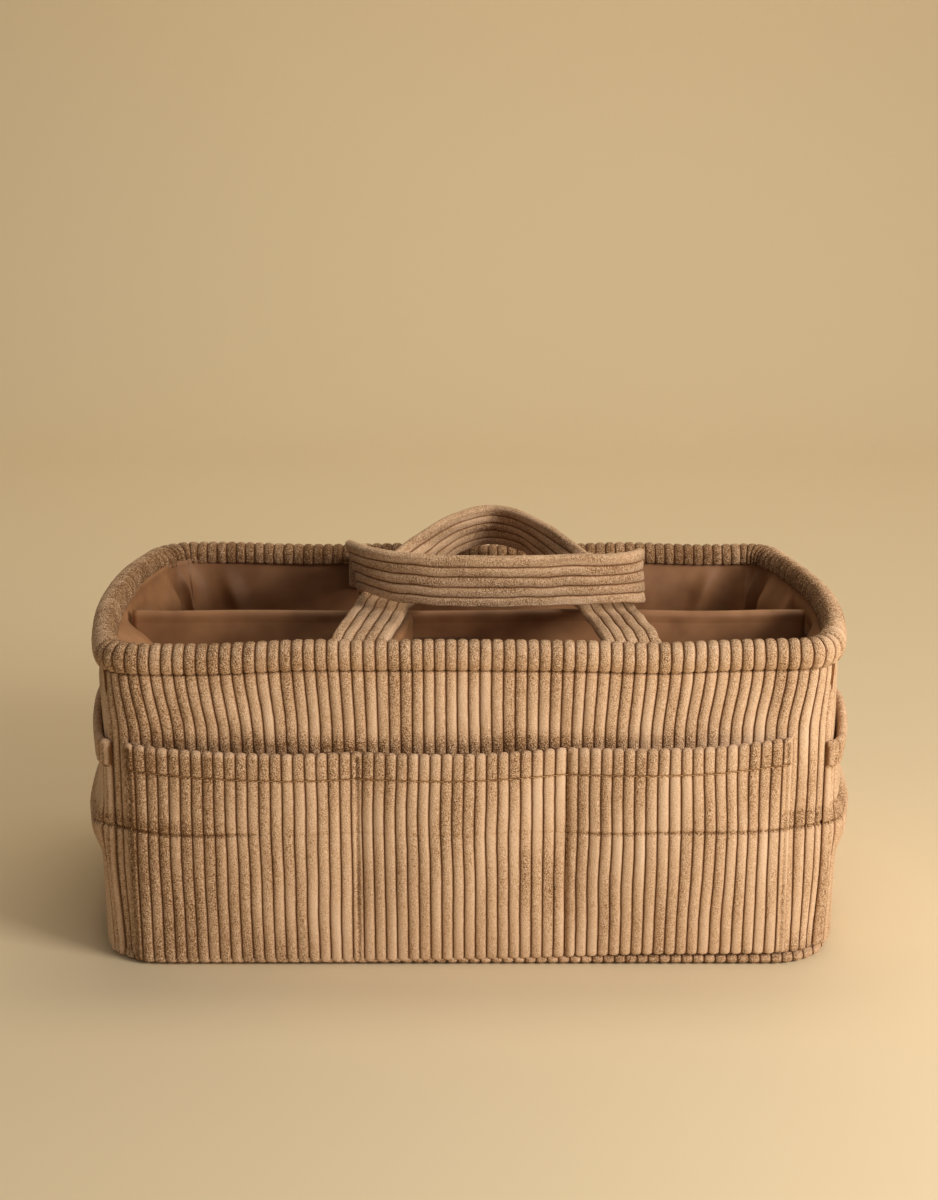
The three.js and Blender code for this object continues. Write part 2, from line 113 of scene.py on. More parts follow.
def plan(run):
    """Place and outward direction of the wall face at a run, its distance along the wall from the middle
    of the front. A quarter is a straight, a round corner and half a bowed side; the others mirror it."""
    lap = np.mod(run, 4 * QUARTER)
    quarter = np.minimum((lap / QUARTER).astype(int), 3)
    into = lap - quarter * QUARTER
    into = np.where(quarter % 2 == 1, QUARTER - into, into)
    corner = np.clip((into - CORNER_X) / CORNER_RADIUS, 0, CORNER_TURN)
    side = np.clip((into - CORNER_X - CORNER_LENGTH) / SIDE_RADIUS, 0, SIDE_TURN)
    turn = corner + side
    on_side = side > 0
    x = np.where(on_side, SIDE_CENTRE_X + SIDE_RADIUS * np.sin(turn),
                 np.minimum(into, CORNER_X) + CORNER_RADIUS * np.sin(turn))
    y = np.where(on_side, -SIDE_RADIUS * np.cos(turn), -CORNER_Y - CORNER_RADIUS * np.cos(turn))
    flip_x = np.where(quarter >= 2, -1.0, 1.0)
    flip_y = np.where((quarter == 1) | (quarter == 2), -1.0, 1.0)
    return x * flip_x, y * flip_y, np.sin(turn) * flip_x, -np.cos(turn) * flip_y


def grid_of(*parts):
    """Coordinates on a grid as one array: x, y and z of points, or a cloth's UV, the wale number across and
    the millimetres along."""
    return np.stack(np.broadcast_arrays(*parts), axis=-1)


def wall(run, inward, z):
    """Points at a run along the wall, so far inward from its outer face, at height z."""
    x, y, out_x, out_y = plan(run)
    return grid_of(x - inward * out_x, y - inward * out_y, z)


def drift(a, b, size, seed):
    """A smooth drift between about -1 and 1 over two coordinates: a sum of sine waves about size long."""
    rng = np.random.default_rng(seed)
    total = 0
    for _ in range(7):
        heading = rng.uniform(0, 2 * math.pi)
        bend = rng.uniform(0.6, 1.7)
        start = rng.uniform(0, 2 * math.pi)
        wave = 2 * math.pi * bend / size
        total = total + np.sin(wave * (a * math.cos(heading) + b * math.sin(heading)) + start)
    return total / 3.5


def around_plan(run):
    """A coordinate for drifts that goes round the wall without a jump where the run starts again."""
    x, y = plan(run)[:2]
    return x + 0.8 * y


def smooth(start, end, value):
    """0 up to start, 1 from end on, and an S curve between."""
    share = np.clip((value - start) / (end - start), 0, 1)
    return share * share * (3 - 2 * share)


def bell(value, width):
    """A bell curve of height 1 round zero."""
    return np.exp(-(value / width) ** 2)


def pile(wales):
    """Height of the pile, from 0 in the groove between two wales to 1 on a crown: half an ellipse."""
    across = 2 * np.mod(wales, 1.0) - 1
    return np.maximum(1 - np.abs(across) ** 2.4, 0) ** 0.5


def wale_columns(count):
    """Wale numbers of the columns of a corduroy grid, closest together in the grooves."""
    return np.append((np.arange(count)[:, None] + WALE_PLACES).ravel(), float(count))


def wale_grid(start, end):
    """The columns of a corduroy grid between two places: their wale numbers, their places, and how free
    they are to wander, from 0 at both ends to 1."""
    count = round((end - start) / WALE)
    wales = wale_columns(count)[:, None]
    free = smooth(0, 3, wales) * smooth(count, count - 3, wales)
    return wales, start + (end - start) * wales / count, free


def wale_tone(wales, seed):
    """A tone of its own for each wale, from -1 to 1."""
    return np.random.default_rng(seed).uniform(-1, 1, 400)[np.floor(wales).astype(int) % 400]


# Meshes

def make_object(name, points, faces, uv=None, nap_and_shade=None):
    """An object at the origin from points in millimetres and lists of faces, with a UV and, for each point,
    how much lighter or darker the cloth is drawn: the brushed pile's tone, with painted shade added in
    places."""
    mesh = bpy.data.meshes.new(name)
    mesh.from_pydata(points * MM, [], faces)
    if uv is not None:
        layer = mesh.uv_layers.new(name="weave")
        corners = np.empty(len(mesh.loops), dtype=np.int32)
        mesh.loops.foreach_get("vertex_index", corners)
        layer.data.foreach_set("uv", uv[corners].astype(np.float32).ravel())
    if nap_and_shade is not None:
        layer = mesh.attributes.new("nap_and_shade", "FLOAT", "POINT")
        layer.data.foreach_set("value", nap_and_shade.astype(np.float32))
    mesh.polygons.foreach_set("use_smooth", np.ones(len(mesh.polygons), dtype=bool))
    mesh.update()
    piece = bpy.data.objects.new(name, mesh)
    bpy.context.scene.collection.objects.link(piece)
    turn_outward(piece)
    return piece


def turn_outward(piece):
    """Turns every face round if the volume inside them, by the divergence theorem, is negative."""
    mesh = piece.data
    mesh.calc_loop_triangles()
    corners = np.empty(len(mesh.loop_triangles) * 3, dtype=np.int32)
    mesh.loop_triangles.foreach_get("vertices", corners)
    points = np.empty(len(mesh.vertices) * 3, dtype=np.float64)
    mesh.vertices.foreach_get("co", points)
    a, b, c = np.moveaxis(points.reshape(-1, 3)[corners.reshape(-1, 3)], 1, 0)
    if np.sum(a * np.cross(b, c)) < 0:
        mesh.flip_normals()


def tube_faces(rings, size, closed=False, count=1):
    """Faces of solids in a row, each through rings of points: a quad between neighbours, and a cap at each
    open end."""
    bands = rings if closed else rings - 1
    i = np.arange(bands)[:, None] * size
    j = ((np.arange(bands) + 1) % rings)[:, None] * size
    k = np.arange(size)[None, :]
    n = (k + 1) % size
    quads = np.stack([i + k, i + n, j + n, j + k], axis=-1).reshape(-1, 4)
    first = np.arange(count)[:, None, None] * rings * size
    faces = (first + quads).reshape(-1, 4).tolist()
    if not closed:
        caps = np.stack([np.arange(size)[::-1], (rings - 1) * size + np.arange(size)])
        faces += (first + caps).reshape(-1, size).tolist()
    return faces


def solid(name, grid, uv, nap_and_shade=None, closed=False):
    """A solid through a grid of rings, grid[ring, place, xyz], with a UV and a tone for each point: the
    pile's, with any painted shade.
    """
    rings, size = grid.shape[:2]
    nap_and_shade = None if nap_and_shade is None else np.broadcast_to(nap_and_shade, (rings, size)).ravel()
    return make_object(name, grid.reshape(-1, 3), tube_faces(rings, size, closed), uv.reshape(-1, 2), nap_and_shade)


# Materials

# How fine each pattern is, in grains a millimetre: a noise on Object coordinates, which are metres, has
# this divided by MM as its scale
TUFT_FLECKS = 1.45
TUFT_PATCHES = 0.33
SLUBS = 0.045
# At scale 1 a band texture repeats every pi / 10 units, here millimetres, so this gives 0.6 mm
THREAD_BANDS = 0.52


def colour(code):
    """A hex sRGB colour as linear red, green, blue and alpha."""
    parts = [int(code[i:i + 2], 16) / 255 for i in (1, 3, 5)]
    return tuple(p / 12.92 if p <= 0.04045 else ((p + 0.055) / 1.055) ** 2.4 for p in parts) + (1.0,)


def new_material(name):
    material = bpy.data.materials.new(name)
    material.use_nodes = True
    return material, material.node_tree.nodes["Principled BSDF"]


def join(node, **links):
    """Fills a node's inputs. A link named A_B goes to the input "A B", or in_3 to the fourth input; its
    value is an output socket, or a plain value to set."""
    for key, value in links.items():
        socket = node.inputs[int(key[3:])] if key.startswith("in_") else node.inputs[key.replace("_", " ")]
        if isinstance(value, bpy.types.NodeSocket):
            node.id_data.links.new(value, socket)
        else:
            socket.default_value = value
    return node


def add(material, kind, settings=None, stops=(), **links):
    """Adds a node with its settings and links, and with the [place, hex] stops of a colour ramp."""
    node = material.node_tree.nodes.new(kind)
    for key, value in (settings or {}).items():
        setattr(node, key, value)
    if stops:
        elements = node.color_ramp.elements
        while len(elements) < len(stops):
            elements.new(0.5)
        for element, (place, code) in zip(elements, stops):
            element.position = place
            element.color = colour(code)
    return join(node, **links)


def corduroy(name, groove, fleck, shade, body, light):
    """Cotton corduroy, brushed: upright pile that scatters light at grazing angles, so it has sheen and no
    gloss. The pile's tufts show as light and dark flecks where the pile stands up and is darker; where it
    is brushed flat it is lighter and smooth. The same per-point tone also carries painted shade, which
    darkens the cloth and strengthens its flecks. Real tufts are about 0.3 mm and are drawn at about 0.7 mm
    so that they show. Grooves show the darker ground weave, with painted shade added in them."""
    material, shader = new_material(name)
    place = add(material, "ShaderNodeTexCoord")
    parts = add(material, "ShaderNodeSeparateXYZ", Vector=place.outputs["UV"])
    across = add(material, "ShaderNodeMath", {"operation": "PINGPONG"}, in_0=parts.outputs["X"], in_1=0.5)
    flecks = add(material, "ShaderNodeTexNoise", Vector=place.outputs["Object"],
                 Scale=TUFT_FLECKS / MM, Detail=1.0, Roughness=0.5)
    tufts = add(material, "ShaderNodeTexNoise", Vector=place.outputs["Object"],
                Scale=TUFT_PATCHES / MM, Detail=2.0, Roughness=0.5)
    # The per-point tone: the brushed pile's lighter and darker places, and painted shade
    brushed_and_shaded = add(material, "ShaderNodeAttribute", {"attribute_name": "nap_and_shade"})
    tufted = add(material, "ShaderNodeMath", {"operation": "MULTIPLY_ADD"}, in_0=tufts.outputs["Fac"],
                 in_1=0.24, in_2=-0.12)
    raw_speck = add(material, "ShaderNodeMath", {"operation": "ADD"}, in_0=flecks.outputs["Fac"],
                    in_1=tufted.outputs[0])
    upright = add(material, "ShaderNodeMapRange", Value=brushed_and_shaded.outputs["Fac"], From_Min=0.7,
                  From_Max=-0.8, To_Min=0.4, To_Max=1.5)
    centred = add(material, "ShaderNodeMath", {"operation": "SUBTRACT"}, in_0=raw_speck.outputs[0],
                  in_1=0.5)
    speck = add(material, "ShaderNodeMath", {"operation": "MULTIPLY_ADD"}, in_0=centred.outputs[0],
                in_1=upright.outputs[0], in_2=0.5)
    tone = add(material, "ShaderNodeMath", {"operation": "MULTIPLY_ADD"}, in_0=brushed_and_shaded.outputs["Fac"],
               in_1=0.17, in_2=speck.outputs[0])
    pile_colour = add(material, "ShaderNodeValToRGB", Fac=tone.outputs[0],
                      stops=[[0.05, fleck], [0.26, shade], [0.5, body], [0.78, light]])
    # Groove colour: the ground weave's darker colour together with painted shade in the hollow of each
    # groove
    depth = add(material, "ShaderNodeMapRange", {"interpolation_type": "SMOOTHSTEP"},
                Value=across.outputs[0], From_Min=0.0, From_Max=0.16)
    blend = add(material, "ShaderNodeMix", {"data_type": "RGBA"}, Factor=depth.outputs[0],
                A=colour(groove), B=pile_colour.outputs["Color"])
    bump = add(material, "ShaderNodeBump", Height=speck.outputs[0], Strength=0.8, Distance=0.9 * MM)
    join(shader, Base_Color=blend.outputs[2], Normal=bump.outputs["Normal"], Roughness=0.92,
         Specular_IOR_Level=0.12, Sheen_Weight=0.22, Sheen_Roughness=0.5, Sheen_Tint=colour("#E6CDB2"))
    return material


def lining_cloth(name, dark, body, light):
    """Polyester taffeta: a close plain weave of fine threads, so it is smooth with a soft satin sheen.
    Real threads are about 0.15 mm apart and are drawn at 0.6 mm so that they show."""
    material, shader = new_material(name)
    place = add(material, "ShaderNodeTexCoord")
    threads = []
    for direction in ("X", "Y"):
        wave = add(material, "ShaderNodeTexWave", {"wave_type": "BANDS", "bands_direction": direction},
                   Vector=place.outputs["UV"], Scale=THREAD_BANDS, Distortion=0.6, Detail=1.0)
        threads.append(wave.outputs["Fac"])
    crossing = add(material, "ShaderNodeMath", {"operation": "MULTIPLY"}, in_0=threads[0], in_1=threads[1])
    slubs = add(material, "ShaderNodeTexNoise", Vector=place.outputs["Object"],
                Scale=SLUBS / MM, Detail=2.0)
    tone = add(material, "ShaderNodeMath", {"operation": "MULTIPLY_ADD"}, in_0=crossing.outputs[0],
               in_1=0.22, in_2=slubs.outputs["Fac"])
    cloth_colour = add(material, "ShaderNodeValToRGB", Fac=tone.outputs[0],
                       stops=[[0.2, dark], [0.58, body], [0.95, light]])
    bump = add(material, "ShaderNodeBump", Height=crossing.outputs[0], Strength=0.25,
               Distance=0.3 * MM)
    join(shader, Base_Color=cloth_colour.outputs["Color"], Normal=bump.outputs["Normal"],
         Roughness=0.55, Specular_IOR_Level=0.4, Sheen_Weight=0.2, Sheen_Tint=colour("#C9A27C"))
    return material


def grainy(name, dark, light, grains, roughness, bump_depth):
    """A plain matt material with a grain: two colours, grains a millimetre, and its depth in mm."""
    material, shader = new_material(name)
    place = add(material, "ShaderNodeTexCoord")
    grain = add(material, "ShaderNodeTexNoise", Vector=place.outputs["Object"],
                Scale=grains / MM, Detail=4.0)
    tone = add(material, "ShaderNodeValToRGB", Fac=grain.outputs["Fac"],
               stops=[[0.3, dark], [0.7, light]])
    bump = add(material, "ShaderNodeBump", Height=grain.outputs["Fac"],
               Strength=0.5, Distance=bump_depth * MM)
    join(shader, Base_Color=tone.outputs["Color"], Normal=bump.outputs["Normal"], Roughness=roughness)
    return material


# The groove colour holds painted shade as well as the ground weave's own darker colour
CORDUROY = corduroy("brushed wide-wale corduroy", "#7E5430", "#6F4C2D", "#A07C59", "#CFAB88", "#E8CEB3")
LINING = lining_cloth("polyester taffeta", "#744E30", "#986B47", "#B0825B")
# Pressed from paper fibres that lie in clumps of about 3 mm, so it is matt and a little mottled
BOARD = grainy("grey stiffener board", "#A79C8A", "#C4BAA8", 0.3, 0.85, 0.2)
# Carded fibres that curl about every millimetre, so it is pale, fluffy and fully matt
WADDING = grainy("polyester wadding", "#DCD5C6", "#F1ECDF", 0.9, 1.0, 0.6)
# Woven with hooks and loops about 0.7 mm apart, so it is matt, rough and dark between them
TAPE = grainy("hook-and-loop tape", "#5A3E2A", "#86644A", 1.4, 0.95, 0.6)
# Spun from short fibres with a twist of about 0.4 mm, so it is soft and has only a faint gloss
THREAD = grainy("spun polyester thread", "#B0814F", "#D8AD7C", 2.5, 0.7, 0.2)


def finish_piece(piece, material, body, nodes=()):
    """Gives a piece its material and the body it rides on, and hides the CAD nodes it stands for."""
    piece.data.materials.append(material)
    if body:
        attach(piece, body)
    if nodes:
        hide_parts(*nodes)
    return piece


# Sag and creases of the soft walls

# By place across the caddy, but the sways by place from front to back and the tips by run along the front
LIFT_PLACES = [-206, -165, -85, 15, 100, 150, 190, 206]
LIFT_HEIGHTS = [-1.5, -2.0, 0.0, 0.4, -1.0, 0.5, 2.2, 2.0]
FOOT_PLACES = [-200, -60, 40, 90, 200]
FOOT_DROPS = [3.6, 3.0, 0.6, -1.3, -2.0]
CREASE_PLACES = [-190, -125, -105, 50, 66, 185]
CREASE_DEPTHS = [1.0, 0.9, 0.15, 0.15, 0.8, 1.0]
SWAY_PLACES = [-60, -9, 28, 64, 100]
SWAYS = [0.0, 1.8, 2.8, 4.2, 5.4]
LEAN_SHARE = 0.45
MOUTH_PLACES = [-177, -150, -92, -1, 47, 90, 126, 163]
MOUTH_TIPS = [123.4, 121.3, 119.1, 119.1, 121.3, 122.3, 123.4, 126.6]


def rim_lift(run):
    """How far the soft rim rises or dips: between listed heights, faded out towards the back, with a
    slow drift."""
    x, y = plan(run)[:2]
    return np.interp(x, LIFT_PLACES, LIFT_HEIGHTS) * smooth(60, -110, y) + 0.6 * drift(x, y, 90, 3)


def foot_drop(run):
    """How far the front panel sags over the edge of the bottom, most at its left: between listed drops,
    at the front alone."""
    x, y = plan(run)[:2]
    return np.interp(x, FOOT_PLACES, FOOT_DROPS) * smooth(-80, -115, y)


def rim_sway(run, z):
    """How far the left side leans outward towards its back corner: between listed sways, more the
    higher up. The rim's hidden side, facing and padding lean by LEAN_SHARE of it."""
    x, y = plan(run)[:2]
    return np.interp(y, SWAY_PLACES, SWAYS) * smooth(-120, -185, x) * smooth(60, 165, z)


def from_middle(run):
    """Distance along the wall from the middle of the front or the back, whichever is nearer."""
    return np.abs(np.mod(run + QUARTER, 2 * QUARTER) - QUARTER)


def past_corner(run):
    """Distance along the wall from the middle of the nearest corner, towards the side of the caddy."""
    return from_middle(run) - CORNER_X - CORNER_LENGTH / 2


def drawn_in(run, z):
    """How far the foot is drawn in to the rounder bottom: a bell curve round each corner, fading upwards."""
    return 3.2 * bell(past_corner(run), 13) * smooth(60, 4, z)


def wall_bow(run, z):
    """How far the outer cloth stands off its board: slack over the wall, a puff above the pockets with
    slanting wrinkles at the left, calm at the corners."""
    around = around_plan(run)
    x, y = plan(run)[:2]
    corner = smooth(160, 182, np.abs(x)) * smooth(55, 95, np.abs(y))
    slack = np.maximum(0.9 + 0.9 * drift(around, z, 120, 11), 0)
    slack = slack * smooth(4, 50, z) * smooth(158, 120, z)
    puff = bell(z - 140, 13) * np.maximum(1.3 + 0.9 * drift(around + 0.6 * z, 0.5 * z, 42, 12), 0)
    wrinkle = 0.8 * np.sin((run * 0.45 + z * 0.9) / 3.4) * bell(run + 118, 48) * bell(z - 140, 12)
    return (slack + puff + wrinkle) * (1 - 0.85 * corner) - drawn_in(run, z) + rim_sway(run, z)


def mouth_tip(run):
    """Height of the fingertips of the front pocket's mouth, which sags between its ends, by straight lines
    between listed heights."""
    return np.interp(run, MOUTH_PLACES, MOUTH_TIPS)


def side_tip(run):
    """Height of the tips of a side pocket's mouth, which wavers a little."""
    return 122.0 + 1.2 * drift(run, 0 * run, 90, 21)


def rim_fan(run, z):
    """How far the wales lean away from the middle of the front and back on their way up to the rim: a sine
    along the wall, squared with its sign kept, times a smooth rise."""
    turn = math.pi * run / QUARTER
    return 4.8 * np.sin(turn) * np.abs(np.sin(turn)) * smooth(128, 163, z)


def wale_sway(run, z, seed):
    """How far a wale wanders sideways: slow waves, and a kink where the cloth was folded."""
    kink = 0.9 * drift(run, 0 * run, 100, seed) * np.maximum(1 - np.abs(z - FOLD_HEIGHT) / 50, 0)
    slow = 0.35 * drift(run, z, 60, seed + 1) * smooth(8, 50, z)
    return kink + slow + 0.08 * drift(run * 2, z, 10, seed + 2)


def above_fold(run, z, seed):
    """Height above the fold line, which wavers a little."""
    return z - FOLD_HEIGHT - 1.3 * drift(around_plan(run), 0 * run, 70, seed)


def fold_line(run, z, seed):
    """The crease left by folding, 0 to 1: sharp towards the ends of the front, soft in its middle, and with
    a second line above it at the right."""
    x, y = plan(run)[:2]
    front = smooth(-100, -118, y)
    depth = np.interp(x, CREASE_PLACES, CREASE_DEPTHS) * front + 0.7 * (1 - front)
    level = above_fold(run, z, seed)
    return bell(level, 0.9) * depth + bell(level - 8.6, 0.8) * 0.8 * smooth(152, 168, x)


def fold_shade(run, z, seed):
    """A band of upright pile above the fold line, towards the ends of the front, 0 to 1."""
    x, y = plan(run)[:2]
    level = above_fold(run, z, seed)
    ends = bell(level - 3.6, 3.4) * smooth(-112, -160, x) + bell(level - 4.2, 3.6) * smooth(156, 168, x)
    return ends * smooth(-40, -90, y)


def cloth_nap(run, z, wales, seed):
    """Tone of the brushed pile: streaks along the wales, soft patches, and a tone for each wale."""
    return (0.36 * drift(run * 1.6, z * 0.22, 20, seed) + 0.36 * drift(run, z, 75, seed + 1)
            + 0.1 * wale_tone(wales, seed))


# Walls

def outer_section():
    """Inward distance and height of an outer panel's face: round its foot, up the wall, out into the padded
    rim, over it as an ellipse and down inside as the facing."""
    foot_turn = np.linspace(math.pi / 2, 0, 6)[:-1]
    foot_in = FOOT_RADIUS * (1 - np.cos(foot_turn))
    foot_z = FOOT_TOP - FOOT_DEPTH * np.sin(foot_turn)
    levels = np.unique(np.concatenate([
        np.linspace(FOOT_TOP, STITCH_LEVEL - 2.4, 50), np.linspace(FOLD_HEIGHT - 5, FOLD_HEIGHT + 5, 13),
        np.linspace(STITCH_LEVEL - 2, STITCH_LEVEL, 6)]))
    swell = np.linspace(0, math.pi / 2, 14)[1:]
    arch = np.linspace(math.pi, 0, 19)[1:]
    facing = np.linspace(ROLL_LEVEL, FACING_FOOT, 4)[1:]
    inward = np.concatenate([foot_in, np.zeros(len(levels)), -RIM_FLARE * np.sin(swell) ** 1.3,
                             RIM_MIDDLE + RIM_REACH * np.cos(arch), np.full(len(facing), FACING_IN)])
    z = np.concatenate([foot_z, levels, ROLL_LEVEL - (ROLL_LEVEL - STITCH_LEVEL) * np.cos(swell),
                        ROLL_LEVEL + RIM_CROWN * np.sin(arch), facing])
    return inward, z


def inner_section():
    """The hidden side of an outer panel, from under the facing back over the rim and down to its foot."""
    arch = np.linspace(0, math.pi, 9)
    inward = np.concatenate([[FACING_IN - CLOTH], RIM_MIDDLE + (RIM_REACH - CLOTH) * np.cos(arch),
                             np.full(10, CLOTH)])
    z = np.concatenate([[FACING_FOOT], ROLL_LEVEL + (RIM_CROWN - CLOTH) * np.sin(arch),
                        [HEM_FOOT], np.linspace(155, 127, 4), np.linspace(60, WALL_FOOT + 0.2, 5)])
    return inward, z


def facing_room(run, inward):
    """How much nearer to the outer face the facing lies at the sides, and further from it at the corners,
    where the boards are rounder."""
    past = past_corner(run)
    nearer = 2.2 * smooth(0, 18, past - CORNER_LENGTH / 2) - 1.8 * bell(past, 15)
    return nearer * smooth(2, FACING_IN, inward)


def section_normals(inward, z):
    """Unit normals of a section, on the left of its direction of travel, by central differences."""
    along_in, along_z = np.gradient(inward), np.gradient(z)
    length = np.hypot(along_in, along_z)
    return -along_z / length, along_in / length


def outer_panel(side, start, end, seed):
    """An outer wall panel: the section carried along the wall, with a wale every 5.9 mm. The pile dips in
    each groove, along the rim's stitch line, at the fold line and at the corner seams."""
    wales, straight, free = wale_grid(start, end)
    inward, z = (part[None, :] for part in outer_section())
    normal_in, normal_z = (part[None, :] for part in section_normals(inward[0], z[0]))
    run = straight + rim_fan(straight, z) + wale_sway(straight, z, seed) * free
    outside = inward < 2.5
    stitched = bell(z - STITCH_LEVEL, STITCH_WIDTH) * outside
    folded = fold_line(run, z, seed + 5) * outside
    seam = bell(run - rim_fan(start, z) - start, 1.8) + bell(run - rim_fan(end, z) - end, 1.8)
    dip = PILE * (1 - pile(wales)) - PROUD + STITCH_DIP * stitched + 1.3 * folded + 0.8 * seam
    dip = dip + TUFTS * drift(wales * 11, z, 4.5, seed + 7)
    lift = rim_lift(run) * smooth(20, 170, z) - foot_drop(run) * smooth(30, 5, z)
    bow = (wall_bow(run, z) * outside
           + (LEAN_SHARE * rim_sway(run, z) + facing_room(run, inward)) * ~outside)
    face = wall(run, inward - bow - normal_in * dip, z - normal_z * dip + lift)
    in_inner, z_inner = (part[None, :] for part in inner_section())
    run_inner = straight + rim_fan(straight, z_inner)
    lift_inner = rim_lift(run_inner) * smooth(20, 170, z_inner)
    room_inner = facing_room(run_inner, in_inner) - drawn_in(run_inner, z_inner)
    in_inner = in_inner - LEAN_SHARE * rim_sway(run_inner, z_inner)
    back = wall(run_inner, in_inner - room_inner, z_inner + lift_inner)
    nap_and_shade = cloth_nap(run, z, wales, seed + 8) - 1.2 * stitched - 2.0 * folded - 0.9 * seam + 0.15
    nap_and_shade = nap_and_shade - 1.1 * fold_shade(run, z, seed + 5) * outside - 0.35 * smooth(HEM_FOOT, HEM_FOOT + 4, z)
    # Darker towards the foot, and painted shade over the top and inner side of the rim and down the facing
    nap_and_shade = nap_and_shade - 0.5 * smooth(20, 4, z) - 1.6 * smooth(-1, 6, inward)
    if side == "front":
        # Painted shade: the front darkens towards its left end, away from the key lamp
        nap_and_shade = nap_and_shade - 0.55 * smooth(-80, -185, run)
        tip = mouth_tip(run)
        # Painted shade on the wall just above the front pocket's mouth and behind its lip
        mouth_shade = smooth(tip + 11, tip, z) * (0.9 + 0.2 * drift(run, 0 * run, 60, 39))
        nap_and_shade = nap_and_shade - 1.7 * mouth_shade * smooth(-178, -150, run) * smooth(150, 60, run)
    along = np.cumsum(np.hypot(np.diff(inward[0], prepend=0), np.diff(z[0], prepend=0)))[None, :]
    piece = solid(f"corduroy_{side}_panel", np.concatenate([face, back], axis=1),
                  np.concatenate([grid_of(wales, along), grid_of(wales, z_inner)], axis=1),
                  np.concatenate([nap_and_shade, np.zeros_like(run_inner)], axis=1))
    return finish_piece(piece, CORDUROY, "caddy", [f"outer_{side}_panel"])


# The panels' edges press into each other at the corner seams
SEAM_GAP = -0.3
PANELS = {"front": (-CORNER_RUN, CORNER_RUN), "right": (CORNER_RUN, BACK_RUN - CORNER_RUN),
          "back": (BACK_RUN - CORNER_RUN, BACK_RUN + CORNER_RUN),
          "left": (BACK_RUN + CORNER_RUN, 2 * BACK_RUN - CORNER_RUN)}
for number, (side, (start, end)) in enumerate(PANELS.items()):
    outer_panel(side, start + SEAM_GAP, end - SEAM_GAP, 20 + 20 * number)


def bottom_panel():
    """The bottom: wales run front to back, so a section at each x is a flat ring whose round ends are the
    beads that show under the front and back walls. Its corners are rounder than those of the walls."""
    half = HALF_WIDTH - 0.3
    wales, x, _ = wale_grid(-half, half)
    turn = math.asin((HALF_DEPTH - BOTTOM_RADIUS) / (SIDE_RADIUS - BOTTOM_RADIUS))
    straight = SIDE_CENTRE_X + (SIDE_RADIUS - BOTTOM_RADIUS) * math.cos(turn)
    over = np.maximum(np.abs(x) - straight, 0)
    corner = HALF_DEPTH - BOTTOM_RADIUS + np.sqrt(np.maximum(BOTTOM_RADIUS ** 2 - over ** 2, 0))
    side = np.sqrt(np.maximum(SIDE_RADIUS ** 2 - (np.abs(x) - SIDE_CENTRE_X) ** 2, 0))
    on_side = np.abs(x) > SIDE_CENTRE_X + SIDE_RADIUS * math.cos(turn)
    depth = np.where(on_side, side, corner)
    swell = BOTTOM_THICK / 2 + 0.5
    angle = np.linspace(-math.pi / 2, math.pi / 2, 11)[None, :]
    dip = (1 - pile(wales)) * PILE
    end_y = depth - swell + (swell + 3.0 - dip) * np.cos(angle)
    end_z = swell + (swell - dip * 0.6) * np.sin(angle)
    under_y = depth * np.linspace(-1, 1, 24)[None, 1:-1] * 0.98
    front = grid_of(x, -end_y[:, ::-1], end_z[:, ::-1])
    grid = np.concatenate([front, grid_of(x, under_y, dip * 0.6), grid_of(x, end_y, end_z)], axis=1)
    # The bottom is drawn darker all over: painted shade on the beads that show under the walls
    nap_and_shade = cloth_nap(x, grid[..., 1], wales, 131) - 0.5
    piece = solid("corduroy_bottom", grid, grid_of(wales, grid[..., 1]), nap_and_shade)
    return finish_piece(piece, CORDUROY, "caddy", ["bottom_panel"])


bottom_panel()


# Pockets

HEM = 14.5
HEM_EXTRA = 1.6
HALF_LIP = (CLOTH + HEM_EXTRA + PROUD) / 2
LIP_RISE = 1.1 * HALF_LIP
POCKET_FOOT = WALL_FOOT - 0.5
POCKET_EDGE = 3.1
EDGE_THIN = 2.6
EDGE_ROUND = 2.2
SIDE_FROM = CORNER_RUN + 2.8
# Seams, the height of the mouth's tips, depth of its lobes, of its ridge and of its gaping mouth, and a
# seed. The cloth goes on for a pocket edge past its first and last seam.
POCKETS = {
    "front": ([-175.4, -58.0, 51.0, 164.5], mouth_tip, 8.0, 0.0, 0.0, 231),
    "right": ([SIDE_FROM, BACK_RUN - SIDE_FROM], side_tip, 1.0, 5.2, 1.8, 251),
    "left": ([BACK_RUN + SIDE_FROM, 2 * BACK_RUN - SIDE_FROM], side_tip, 0.8, 5.6, 0.8, 271),
}


def lobe(run, seams):
    """How far a pocket stands off between its seams: half a sine wave, a little fuller, from 0 at a seam to
    1 between two."""
    total = np.zeros_like(run)
    for left, right in zip(seams[:-1], seams[1:]):
        share = np.clip((run - left) / (right - left), 0, 1)
        total = total + np.sin(math.pi * share) ** 0.8
    return total


def pocket_stand(run, z, side):
    """How far a pocket stands off the wall: its lobes times a quick rise from the foot that draws in at the
    mouth, with a ridge where the cloth was folded and a waist above it."""
    seams, tip, depth, ridge, gape, _ = POCKETS[side]
    share = np.clip((z - POCKET_FOOT) / (tip(run) - LIP_RISE - POCKET_FOOT), 0, 1)
    rise = (1 - (1 - share) ** 3) * (1 - 0.35 * share * share)
    full = lobe(run, seams)
    edge = smooth(-2, 11, run - seams[0]) * smooth(-2, 11, seams[-1] - run)
    fold = (ridge * bell(z - FOLD_HEIGHT + 4, 12) + gape * smooth(104, 119, z)) * edge
    return full * rise * depth + fold + 0.3


